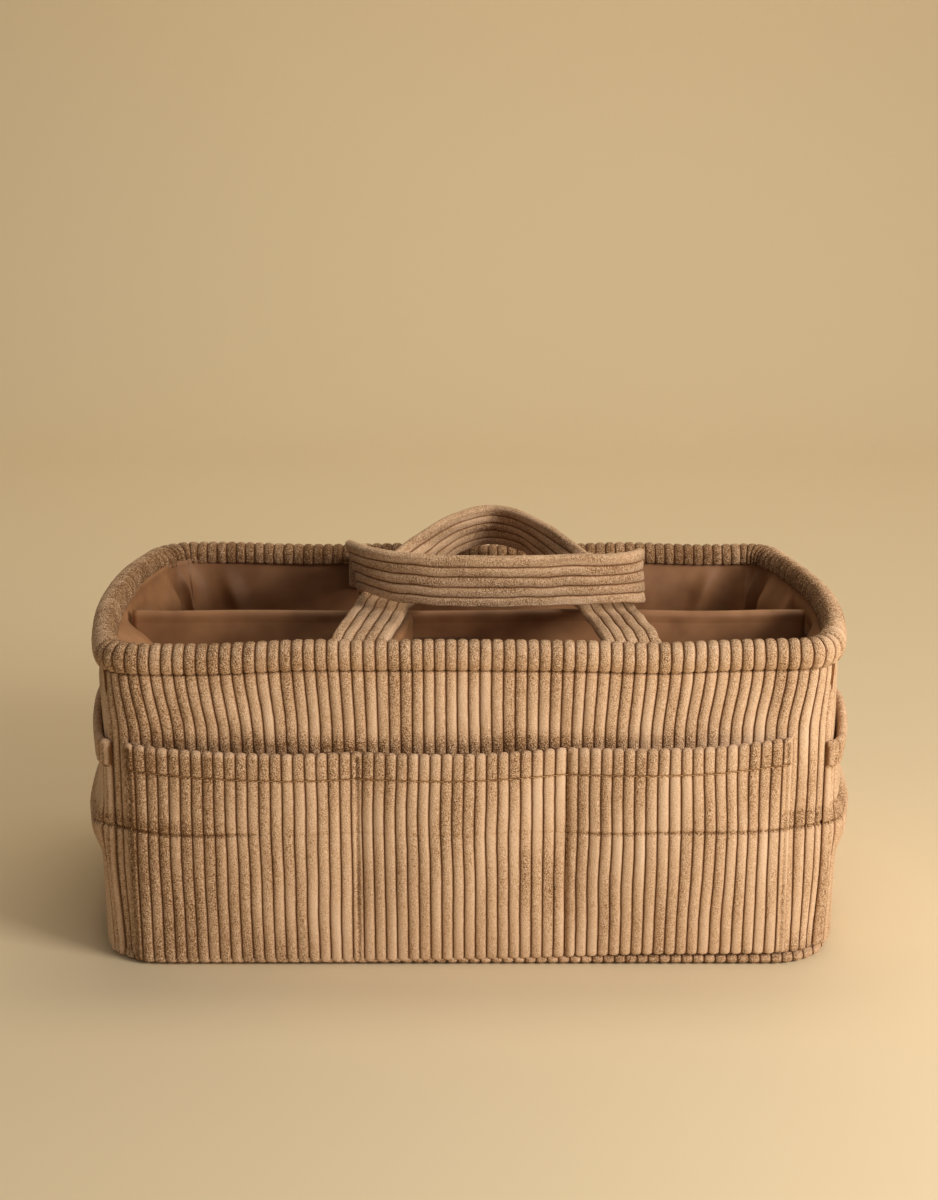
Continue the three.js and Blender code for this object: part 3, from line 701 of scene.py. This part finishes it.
def pocket(side):
    """A patch pocket: a sheet that stands off the wall, with its hem turned in, a round lip at the mouth
    and its hidden side behind. The wales end at the mouth and foot as round tips. The pile dips at the
    hem's stitch line, the seams and the fold line."""
    seams, tip, _, _, _, seed = POCKETS[side]
    start, end = seams[0] - POCKET_EDGE, seams[-1] + POCKET_EDGE
    wales, straight, free = wale_grid(start, end)
    groove = PILE * (1 - pile(wales))
    top = tip(straight) - LIP_RISE
    foot = POCKET_FOOT - foot_drop(straight)
    height = float(np.mean(top - foot))
    near_fold = (FOLD_HEIGHT - POCKET_FOOT + np.linspace(-4, 4, 11)) / height
    near_hem = 1 - (HEM - LIP_RISE + np.linspace(-2.5, 2.5, 13)) / height
    share = np.unique(np.concatenate([
        np.linspace(0, 1, 46), np.linspace(0, 0.025, 6), near_fold, near_hem]))[None, :]
    low, high = foot + 0.9 * groove, top - 1.2 * groove
    z = low + (high - low) * share
    run = straight + wale_sway(straight, z, seed) * free
    ruffle = 0.5 * drift(run * 0.5, z * 1.4, 9, seed + 4)
    seam = sum(bell(run - place - 0.5 * ruffle, 0.9) for place in seams)
    hem_line = bell(z - tip(straight) + HEM, STITCH_WIDTH)
    folded = fold_line(run, z, seed + 5)
    dip = groove - PROUD + STITCH_DIP * hem_line + 1.5 * seam + 1.4 * folded
    dip = dip + TUFTS * drift(wales * 11, z, 4.5, seed + 7)
    hemmed = smooth(-HEM - 1.5, -HEM + 1.5, z - tip(straight))
    rounding = EDGE_ROUND * (1 - np.sqrt(1 - np.maximum(1 - share / 0.022, 0) ** 2))
    thin = smooth(EDGE_THIN, 0, straight - start) + smooth(EDGE_THIN, 0, end - straight)
    rounding = rounding + EDGE_ROUND * thin
    stand = pocket_stand(run, z, side)
    face_out = np.maximum(stand + CLOTH + HEM_EXTRA * hemmed - dip - rounding, stand + 0.25)
    lip_turn = np.linspace(0, math.pi, 11)[None, 1:-1]
    half_lip = HALF_LIP * (1 - 0.75 * thin)
    lip_out = pocket_stand(run[:, -1:], z[:, -1:], side) + half_lip
    lip_out = lip_out + (half_lip - groove * 0.9 * (1 - thin)) * np.cos(lip_turn)
    lip_z = high + LIP_RISE * np.sin(lip_turn)
    inner_z = high + (low - high) * np.linspace(0, 1, 12)[None, :]
    inner_out = pocket_stand(straight, inner_z, side)
    outward = np.concatenate([face_out, lip_out, inner_out], axis=1)
    level = np.concatenate([z, lip_z, inner_z], axis=1)
    full_run = np.concatenate([run, np.repeat(run[:, -1:], lip_turn.size, axis=1),
                               np.repeat(straight, inner_z.shape[1], axis=1)], axis=1)
    nap_and_shade = cloth_nap(full_run, level, wales, seed + 8)
    nap_and_shade[:, :share.size] -= 1.4 * hem_line + 1.1 * np.maximum(seam - 0.1, 0) + 2.0 * folded + 0.35 * hemmed
    # Painted shade: the front pocket darkens towards its left end, away from the key lamp
    nap_and_shade[:, :share.size] -= 1.1 * fold_shade(run, z, seed + 5) + 0.95 * smooth(-60, -180, run) - 0.2
    piece = solid(f"corduroy_{side}_pocket", wall(full_run, -outward - wall_bow(full_run, level), level),
                  grid_of(wales, level), nap_and_shade)
    return finish_piece(piece, CORDUROY, "caddy", [f"{side}_pocket"])


for side in POCKETS:
    pocket(side)


# Handles, from one sewn end to the other: shares of the half span, reach and rise, and tilt as a share of
# a right angle. The first and last points stand where the strap has left the rim.
FRONT_HANDLE = [[-1.0, 0.07, -0.3, 0.02], [-0.985, 0.13, -0.34, 0.02], [-0.962, 0.2, -0.34, 0.03],
                [-0.925, 0.315, -0.38, 0.03], [-0.87, 0.465, -0.32, 0.1], [-0.7, 0.615, 0.2, 0.62],
                [-0.545, 0.74, 0.54, 0.95], [-0.432, 0.85, 0.7, 1.1], [-0.277, 0.94, 0.87, 1.23],
                [-0.12, 0.985, 0.96, 1.3], [0, 1, 0.985, 1.33], [0.12, 0.985, 0.96, 1.3],
                [0.27, 0.94, 0.87, 1.23], [0.4, 0.85, 0.7, 1.1], [0.505, 0.74, 0.54, 0.95],
                [0.64, 0.615, 0.22, 0.62], [0.86, 0.465, -0.3, 0.1], [0.917, 0.315, -0.38, 0.03],
                [0.957, 0.2, -0.34, 0.03], [0.98, 0.13, -0.34, 0.02], [0.995, 0.07, -0.3, 0.02]]
BACK_HANDLE = [[-1, 0.07, -0.5, 0.06], [-1, 0.14, -0.45, 0.35], [-1.01, 0.24, -0.28, 0.72],
               [-1.03, 0.36, -0.08, 0.88], [-1.06, 0.5, 0.2, 0.9], [-1.075, 0.64, 0.54, 0.86],
               [-1.06, 0.74, 0.84, 0.83], [-1.01, 0.83, 0.98, 0.8], [-0.92, 0.89, 0.98, 0.81],
               [-0.72, 0.945, 0.94, 0.83], [-0.43, 0.985, 0.92, 0.84], [0, 1, 0.92, 0.84],
               [0.43, 0.995, 0.94, 0.84], [0.74, 0.985, 0.96, 0.82], [0.95, 0.965, 0.96, 0.82],
               [1.04, 0.93, 0.92, 0.9], [1.095, 0.86, 0.8, 1.02], [1.11, 0.76, 0.55, 1.06],
               [1.12, 0.64, 0.3, 0.88], [1.09, 0.5, 0.04, 0.68], [1.06, 0.4, -0.1, 0.5],
               [1.04, 0.3, -0.26, 0.42], [1.02, 0.2, -0.38, 0.32], [1, 0.13, -0.45, 0.25],
               [1, 0.07, -0.5, 0.06]]
HANDLE_OFFSET = 14.0
STRAP_WIDTH = 30.0
STRAP_THICK = 4.5
STRAP_PILE = 1.4
STRAP_EDGE = 1.6
STRAP_STEP = 2.4
HINGE_Y = HALF_DEPTH - FACING_IN - 0.3 - STRAP_THICK / 2
HINGE_Z = HEIGHT + STRAP_THICK / 2 + 0.5
TAIL_FOOT = HEM_FOOT - 9
TAIL_TOP = HINGE_Z - 11


def spline(points, count):
    """A Catmull-Rom curve through points, each a row of values, at count even steps of its parameter."""
    points = np.asarray(points, dtype=float)
    padded = np.vstack([2 * points[0] - points[1], points, 2 * points[-1] - points[-2]])
    place = np.linspace(0, len(points) - 1, count)
    k = np.minimum(place.astype(int), len(points) - 2)
    t = (place - k)[:, None]
    a, b, c, d = (padded[k + i] for i in range(4))
    return 0.5 * (2 * b + (c - a) * t + (2 * a - 5 * b + 4 * c - d) * t ** 2
                  + (3 * b - a - 3 * c + d) * t ** 3)


def even(points, step):
    """The same path with its points an even distance apart."""
    length = np.insert(np.cumsum(np.linalg.norm(np.diff(points[:, :3], axis=0), axis=1)), 0, 0)
    places = np.linspace(0, length[-1], int(length[-1] / step))
    return np.stack([np.interp(places, length, column) for column in points.T], axis=-1)


def eased(points, rounds):
    """The same path with its kinks eased: each point moves towards the middle of its neighbours."""
    for _ in range(rounds):
        points = np.vstack([points[:1], (points[:-2] + 2 * points[1:-1] + points[2:]) / 4, points[-1:]])
    return points


def strap_section():
    """Outline of a strap, as place across and through it, with wale numbers: five wales along each face,
    the outer ones running round its edges."""
    places = wale_columns(5)
    wales = np.clip(places, 0.5, 4.5)
    half = STRAP_WIDTH / 2 - STRAP_EDGE
    across = np.interp(places, [0, 1, 4, 5], [-half, -0.3 * STRAP_WIDTH, 0.3 * STRAP_WIDTH, half])
    edge = np.linspace(math.pi / 2, -math.pi / 2, 9)[1:-1]
    across_all = np.concatenate([across, half + STRAP_EDGE * np.cos(edge), across[::-1],
                                 -half - STRAP_EDGE * np.cos(edge)])
    through = np.concatenate([np.ones(len(across)), np.sin(edge), -np.ones(len(across)), -np.sin(edge)])
    numbers = np.concatenate([wales, np.full(len(edge), 4.5), wales[::-1], np.full(len(edge), 0.5)])
    return across_all, through, numbers


def strap_path(shares, span, reach, rise, lean, splay):
    """Middle line and tilt of a handle: up the facing of the rim from its sewn end, splayed outward, over
    in a small bend, along the shares, and down to the other sewn end."""
    rows = np.array(shares)
    middle = grid_of(HANDLE_OFFSET + rows[:, 0] * span / 2, lean * (rows[:, 1] * reach - HINGE_Y),
                     HINGE_Z + rows[:, 2] * rise, rows[:, 3])
    ends = []
    for side, x in ((-1, middle[0, 0]), (1, middle[-1, 0])):
        y = -lean * (HINGE_Y + 0.1)
        slant = side * splay
        ends.append([[x + slant * 3, y, TAIL_FOOT, 0], [x + slant * 2.4, y, (TAIL_FOOT + TAIL_TOP) / 2, 0],
                     [x + slant * 1.6, y, TAIL_TOP, 0],
                     [x + slant * 0.8, y + lean * 2.2, TAIL_TOP + 4.2, 0]])
    return np.vstack([ends[0], middle, ends[1][::-1]])


def strap(name, shares, span, reach, rise, lean, splay, seed):
    """A handle: the strap's outline carried along its path. Its width lies level at the ends and tilts
    upright towards the middle; the wales ripple a little and the edges wander."""
    path = strap_path(shares, span, reach, rise, lean, splay)
    path = eased(even(spline(path, 1500), STRAP_STEP), 3)
    place, tilt = path[:, :3], path[:, 3] * math.pi / 2
    along = np.gradient(place, axis=0)
    along /= np.linalg.norm(along, axis=1, keepdims=True)
    level_share = np.hypot(along[:, 0], along[:, 1])
    ends = np.where(np.arange(len(place)) < len(place) / 2, lean, -lean)
    way_x, way_y = along[:, 0] * level_share, along[:, 1] + (1 - level_share) * ends
    length = np.hypot(way_x, way_y)
    level = grid_of(-way_y / length, way_x / length, 0 * length) * lean
    wide = level * np.cos(tilt)[:, None] + np.array([0, 0, 1.0]) * np.sin(tilt)[:, None]
    thick = np.cross(along, wide)
    thick /= np.linalg.norm(thick, axis=1, keepdims=True)
    wide = np.cross(thick, along)
    across, through, wales = (part[None, :] for part in strap_section())
    run = np.arange(len(place))[:, None] * STRAP_STEP
    dip = STRAP_PILE * (1 - pile(wales)) * (np.abs(through) > 0.99)
    dip = dip + TUFTS * drift(run, across * 1.7 + through * 40, 6, seed + 3)
    ripple = 0.3 * drift(run, across * 2, 40, seed) + 0.08 * drift(run, across * 3, 9, seed + 1)
    width = 1 + 0.015 * drift(run, 0 * run, 40, seed + 2)
    bend = 0.3 * drift(run, across * 0.5, 30, seed + 4)
    depth = through * (STRAP_THICK / 2 + 0.2 - dip) + ripple
    grid = (place[:, None, :] + wide[:, None, :] * (across * width + bend)[..., None]
            + thick[:, None, :] * depth[..., None])
    nap_and_shade = 0.5 * drift(run * 0.3, across * 1.5, 18, seed + 5) - 0.25
    return solid(name, grid, grid_of(wales, run), nap_and_shade)


HANDLES = {
    "front": dict(shares=FRONT_HANDLE, span=138.0, reach=201.0, rise=15.5, lean=1, splay=2.4, seed=61),
    "back": dict(shares=BACK_HANDLE, span=144.0, reach=177.0, rise=18.8, lean=-1, splay=0.6, seed=71),
}
for side, shape in HANDLES.items():
    handle = strap(f"corduroy_{side}_handle", **shape)
    finish_piece(handle, CORDUROY, None,
                 [f"{side}_handle", f"{side}_handle_left_tail", f"{side}_handle_right_tail"])
    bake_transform(handle)


# Lining

TAPE_ROOM = (6, 6, 12)
TAPE_EASE = 4


def taped(points, tapes):
    """1 where one of the tapes is sewn flat to the cloth, falling to 0 around it."""
    total = np.zeros(points.shape[:2])
    for name in tapes:
        low, high = node_box(name)
        inside = np.ones_like(total)
        for axis, room in enumerate(TAPE_ROOM):
            value, start, end = points[..., axis], low[axis] - TAPE_EASE, high[axis] + TAPE_EASE
            inside = inside * smooth(start - room, start, value) * smooth(end + room, end, value)
        total = np.maximum(total, inside)
    return total


# Pleats of the lining in each corner: place along the wall from the middle of the front or back at the
# facing, slant to the side per mm down, width and depth
PLEATS = [[153, -0.35, 5.5, 5.5], [175, -0.1, 6, 7.0], [194, -0.5, 6.5, 6.5], [212, 0.2, 8, 5.0]]


def lining_slack(run, z):
    """How far the lining hangs off its board: held under the facing, at the tapes and at the floor, slack
    between, most at the sides, with slanting pleats in the corners, where the boards are rounder than the
    outer walls, and a belly at the left that hides the end of the long divider."""
    x, y = plan(run)[:2]
    body = smooth(FACING_FOOT + 1, FACING_FOOT - 20, z) * smooth(FLOOR_TOP - 2, FLOOR_TOP + 18, z)
    side = smooth(150, 185, np.abs(x))
    slack = 1.6 + 5.5 * side * smooth(104, 82, np.abs(y)) + 0.9 * drift(around_plan(run), z, 60, 81)
    belly = 12.0 * smooth(-4, -18, y) * smooth(-106, -60, y) * smooth(150, 185, -x)
    across = from_middle(run)
    folds = 0
    for place, slant, width, depth in PLEATS:
        folds = folds + depth * bell(across - place - slant * (FACING_FOOT - z), width)
    tapes = ["left_loop_tape", "right_loop_tape", "front_loop_tape"]
    held = np.maximum(slack + folds, 0.0) * (1 - taped(wall(run, LINING_IN, z), tapes))
    return (held + belly) * body + 3.2 * bell(past_corner(run), 16)


def wall_lining():
    """The lining of the walls, one closed band of thin cloth."""
    run = np.linspace(0, 4 * QUARTER, 641)[:-1][:, None]
    z = np.linspace(FLOOR_TOP - 0.6, HEM_FOOT + 8, 60)[None, :]
    slack = lining_slack(run, z)
    face = wall(run, LINING_IN + slack, z)
    back = wall(run, LINING_OUT + slack, z)[:, ::-1]
    grid = np.concatenate([face, back], axis=1)
    level = np.concatenate([z, z[:, ::-1]], axis=1)
    piece = solid("taffeta_wall_lining", grid, grid_of(run, level), closed=True)
    return finish_piece(piece, LINING, "caddy",
                        ["front_lining", "back_lining", "left_lining", "right_lining"])


wall_lining()


def floor_lining():
    """The lining of the floor: rings from its middle to its edge, with low ripples."""
    run = np.linspace(0, 4 * QUARTER, 241)[:-1][:, None]
    share = np.linspace(0.02, 1, 26)[None, :]
    edge = wall(run, LINING_OUT + 0.4, 0)
    x, y = edge[..., 0] * share, edge[..., 1] * share
    ripple = 0.4 * drift(x, y, 80, 91) * smooth(1, 0.8, share)
    low = grid_of(x, y, FLOOR_TOP - 0.9 + ripple)[:, ::-1]
    ring = np.concatenate([grid_of(x, y, FLOOR_TOP + ripple), low], axis=1)
    piece = solid("taffeta_floor_lining", ring, ring[..., :2].copy(), closed=True)
    return finish_piece(piece, LINING, "caddy", ["floor_lining"])


floor_lining()


# Dividers

DIVIDER_HEM = 6.5


def divider(name, node, body, near, far, thick, top, tapes, seed):
    """A fabric-covered board between two plan points: a ring round its section at each step of its length.
    The cover is slack, but flat under its tapes, and has a faint hem line under its rounded top."""
    near, far = np.array(near), np.array(far)
    length = np.linalg.norm(far - near)
    way = (far - near) / length
    normal = np.array([-way[1], way[0]])
    share = np.linspace(0, 1, max(int(length / 3.0), 12))[:, None]
    foot = FLOOR_TOP + 0.4
    side_z = np.concatenate([np.linspace(foot, top - 12, 30), np.linspace(top - 11, top - 2.6, 14)])
    arch = np.linspace(0, math.pi, 9)
    z = np.concatenate([side_z, top - 2.6 + 2.6 * np.sin(arch[1:-1]), side_z[::-1]])[None, :]
    through = np.concatenate([np.full(len(side_z), 1.0), np.cos(arch[1:-1]),
                              np.full(len(side_z), -1.0)])[None, :]
    run = share * length
    wave = 0.9 * drift(run, 0 * run, 110, seed) * smooth(0, 0.08, share) * smooth(1, 0.92, share)
    height = z + wave * smooth(foot, top, z)
    line = bell(z - top + DIVIDER_HEM, 0.8)
    slack = 0.8 + 0.5 * drift(run, z, 45, seed + 1)
    slack = slack * smooth(foot, foot + 20, z) * smooth(top - 7, top - 25, z)
    x, y = near[0] + way[0] * run, near[1] + way[1] * run
    free = 1 - taped(grid_of(x, y, z), tapes)
    half = thick / 2 + slack * free - 0.12 * line + 0.3 * bell(z - top + 3, 2.5)
    sway = 0.8 * drift(run, z, 160, seed + 2) * smooth(foot, foot + 30, z) * free
    offset = through * half + sway
    grid = grid_of(x + normal[0] * offset, y + normal[1] * offset, height)
    return finish_piece(solid(name, grid, grid_of(run, z)), LINING, body, [node])


long_low, long_high = node_box("long_divider_cover")
cross_low, cross_high = node_box("cross_divider_cover")
LONG_TOP = long_high[2]
LONG_THICK = long_high[1] - long_low[1]
divider("taffeta_long_divider", "long_divider_cover", "long_divider",
        (long_low[0] - 0.2, 0.0), (long_high[0] + 0.2, 0.0), LONG_THICK, top=LONG_TOP + 1.2,
        tapes=["long_divider_loop"], seed=101)
cross_back = (cross_high[0] - LONG_THICK / 2, cross_high[1])
cross_front = (cross_low[0] + LONG_THICK / 2, cross_low[1])
divider("taffeta_cross_divider", "cross_divider_cover", "cross_divider",
        cross_front, cross_back, LONG_THICK, top=LONG_TOP + 0.5, tapes=[], seed=111)


# Stitches

STITCH_PLACES = np.array([-0.5, -0.25, 0, 0.25, 0.5])
STITCH_TURNS = np.linspace(0, 2 * math.pi, 7)[:-1]


def wall_stitches(name, runs, outward, z, level=True, length=3.2, thick=0.45):
    """Stitches at runs along the wall, lying so far out from it, level or upright: each a round thread that
    bows up a little in the middle."""
    runs, outward, z = np.broadcast_arrays(runs, outward, z)
    centres = wall(runs, -outward, z)
    _, _, out_x, out_y = plan(runs)
    zero = np.zeros_like(out_x)
    ups = grid_of(out_x, out_y, zero)
    ways = grid_of(-out_y, out_x, zero) if level else grid_of(zero, zero, zero + 1)
    sides = np.cross(ways, ups)
    sunk = -0.4 * (2 * STITCH_PLACES) ** 2
    swell = np.sqrt(np.maximum(1 - (1.6 * STITCH_PLACES) ** 2, 0.25)) * thick / 2
    line = (centres[:, None, :] + (STITCH_PLACES * length)[None, :, None] * ways[:, None, :]
            + sunk[None, :, None] * ups[:, None, :])
    ring = (np.cos(STITCH_TURNS)[None, :, None] * sides[:, None, :]
            + np.sin(STITCH_TURNS)[None, :, None] * ups[:, None, :])
    grid = line[:, :, None, :] + ring[:, None, :, :] * swell[None, :, None, None]
    faces = tube_faces(len(STITCH_PLACES), len(STITCH_TURNS), count=len(centres))
    return finish_piece(make_object(name, grid.reshape(-1, 3), faces), THREAD, "caddy")


def wale_runs(start, end):
    """The run of each wale's crown between two seams."""
    count = round((end - start) / WALE)
    return start + (end - start) * (np.arange(count) + 0.5) / count


for side, (start, end) in PANELS.items():
    crowns = wale_runs(start, end)
    crowns = crowns + rim_fan(crowns, STITCH_LEVEL)
    face = PROUD - 0.9 + wall_bow(crowns, STITCH_LEVEL)
    wall_stitches(f"thread_{side}_rim", crowns, face, STITCH_LEVEL + rim_lift(crowns) * 0.95)

for side, (seams, tip, _, _, _, _) in POCKETS.items():
    crowns = wale_runs(seams[0], seams[-1])
    level = tip(crowns) - HEM
    face = pocket_stand(crowns, level, side) + wall_bow(crowns, level) + CLOTH + PROUD
    wall_stitches(f"thread_{side}_pocket_hem", crowns, face + 0.1, level)
    for number, seam in enumerate(seams):
        z = np.arange(POCKET_FOOT + 7, float(tip(np.array(seam))) - 5, 3.6)
        runs = np.full_like(z, seam)
        face = pocket_stand(runs, z, side) + wall_bow(runs, z) + CLOTH + PROUD
        wall_stitches(f"thread_{side}_pocket_seam_{number}", runs, face - 1.4, z, False, 2.7, 0.6)


def rim_wadding():
    """The wadding roll inside the rim: an oval ring, a little lumpy."""
    low, high = node_box("rim_padding")
    run = np.linspace(0, 4 * QUARTER, 321)[:-1][:, None]
    turn = np.linspace(0, 2 * math.pi, 17)[None, :-1]
    thick = (high[2] - low[2]) / 2 * (1 + 0.05 * drift(around_plan(run), 0 * run, 30, 141))
    inward = RIM_MIDDLE + (RIM_MIDDLE + high[0] - HALF_WIDTH) * np.cos(turn)
    level = (low[2] + high[2]) / 2 + rim_lift(run)
    grid = wall(run, inward - LEAN_SHARE * rim_sway(run, level), level + thick * np.sin(turn))
    piece = solid("wadding_rim", grid, grid_of(run, turn), closed=True)
    finish_piece(piece, WADDING, "caddy", ["rim_padding"])


rim_wadding()

# Hidden pieces keep their CAD solids and get their finish, by the endings of their names
ENDINGS = {BOARD: ("_board", "_core"), TAPE: ("_tape", "_loop", "_hook")}
for material, endings in ENDINGS.items():
    for name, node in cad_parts.items():
        if name.endswith(endings):
            for slot in node.material_slots:
                slot.material = material


# Floor, light and camera

FLOOR_NEAR = -2600.0
FLOOR_FAR = 1500.0
FLOOR_DROP = 0.4
BEND_RADIUS = 600.0
BACKDROP_TOP = 3200.0
BACKDROP_HALF = 3500.0


def backdrop():
    """A pale floor that curves up into a wall behind: a profile carried across."""
    bend = np.linspace(0, math.pi / 2, 24)
    y = np.concatenate([[FLOOR_NEAR], FLOOR_FAR + BEND_RADIUS * np.sin(bend), [FLOOR_FAR + BEND_RADIUS]])
    z = np.concatenate([[0.0], BEND_RADIUS - BEND_RADIUS * np.cos(bend), [BACKDROP_TOP]]) - FLOOR_DROP
    x = np.array([-BACKDROP_HALF, BACKDROP_HALF])
    points = grid_of(x[:, None], y[None, :], z[None, :])
    size = len(y)
    faces = [[k, k + 1, size + k + 1, size + k] for k in range(size - 1)]
    mesh = bpy.data.meshes.new("pale_floor")
    mesh.from_pydata(points.reshape(-1, 3) * MM, [], faces)
    mesh.polygons.foreach_set("use_smooth", np.ones(len(mesh.polygons), dtype=bool))
    piece = bpy.data.objects.new("pale_floor", mesh)
    bpy.context.scene.collection.objects.link(piece)
    material, shader = new_material("matt paper")
    join(shader, Base_Color=colour("#E4D2B0"), Roughness=0.9)
    piece.data.materials.append(material)


def area_light(name, place, target, size, power, tint):
    """A soft square lamp at a place, turned to face a target; all in metres."""
    lamp = bpy.data.lights.new(name, "AREA")
    lamp.size = size
    lamp.energy = power
    lamp.color = colour(tint)[:3]
    holder = bpy.data.objects.new(name, lamp)
    bpy.context.scene.collection.objects.link(holder)
    way = np.array(place) - np.array(target)
    holder.location = place
    holder.rotation_euler = (math.acos(way[2] / np.linalg.norm(way)), 0,
                             math.atan2(way[1], way[0]) + math.pi / 2)


# Each lamp's place, target, size, watts and tint
MIDDLE = (0, 0, 0.1)
LAMPS = {
    "key": ((0.88, -0.74, 0.6), MIDDLE, 0.42, 12.1, "#FFF6EA"),
    "fill": ((0.9, -1.8, 0.9), MIDDLE, 1.6, 6.0, "#FFF8F0"),
    "back": ((0.5, 1.2, 1.9), MIDDLE, 1.4, 3.0, "#FFF8F0"),
    "backdrop": ((0.3, 0.7, 2.3), (0.2, 2.1, 0.8), 1.5, 24.0, "#FFF0D8"),
}
backdrop()
for name, settings in LAMPS.items():
    area_light(name, *settings)
world = bpy.data.worlds.new("studio")
world.use_nodes = True
join(world.node_tree.nodes["Background"], Color=colour("#F4EEE4"), Strength=0.2)
bpy.context.scene.world = world

# The photograph is 938 by 1200 pixels; the lens is 2034 pixels long on its 1200 pixel side
PHOTO_HEIGHT = 1200
LENS_PIXELS = 2034
CAMERA_PLACE = (0.0, -1.125, 0.443)
CAMERA_DIP = 13.68
camera_data = bpy.data.cameras.new("camera")
camera_data.sensor_width = 36.0
camera_data.lens = LENS_PIXELS / PHOTO_HEIGHT * camera_data.sensor_width
camera = bpy.data.objects.new("camera", camera_data)
bpy.context.scene.collection.objects.link(camera)
camera.location = CAMERA_PLACE
camera.rotation_euler = (math.radians(90 - CAMERA_DIP), 0, 0)
bpy.context.scene.camera = camera
bpy.context.scene.view_settings.view_transform = "Standard"
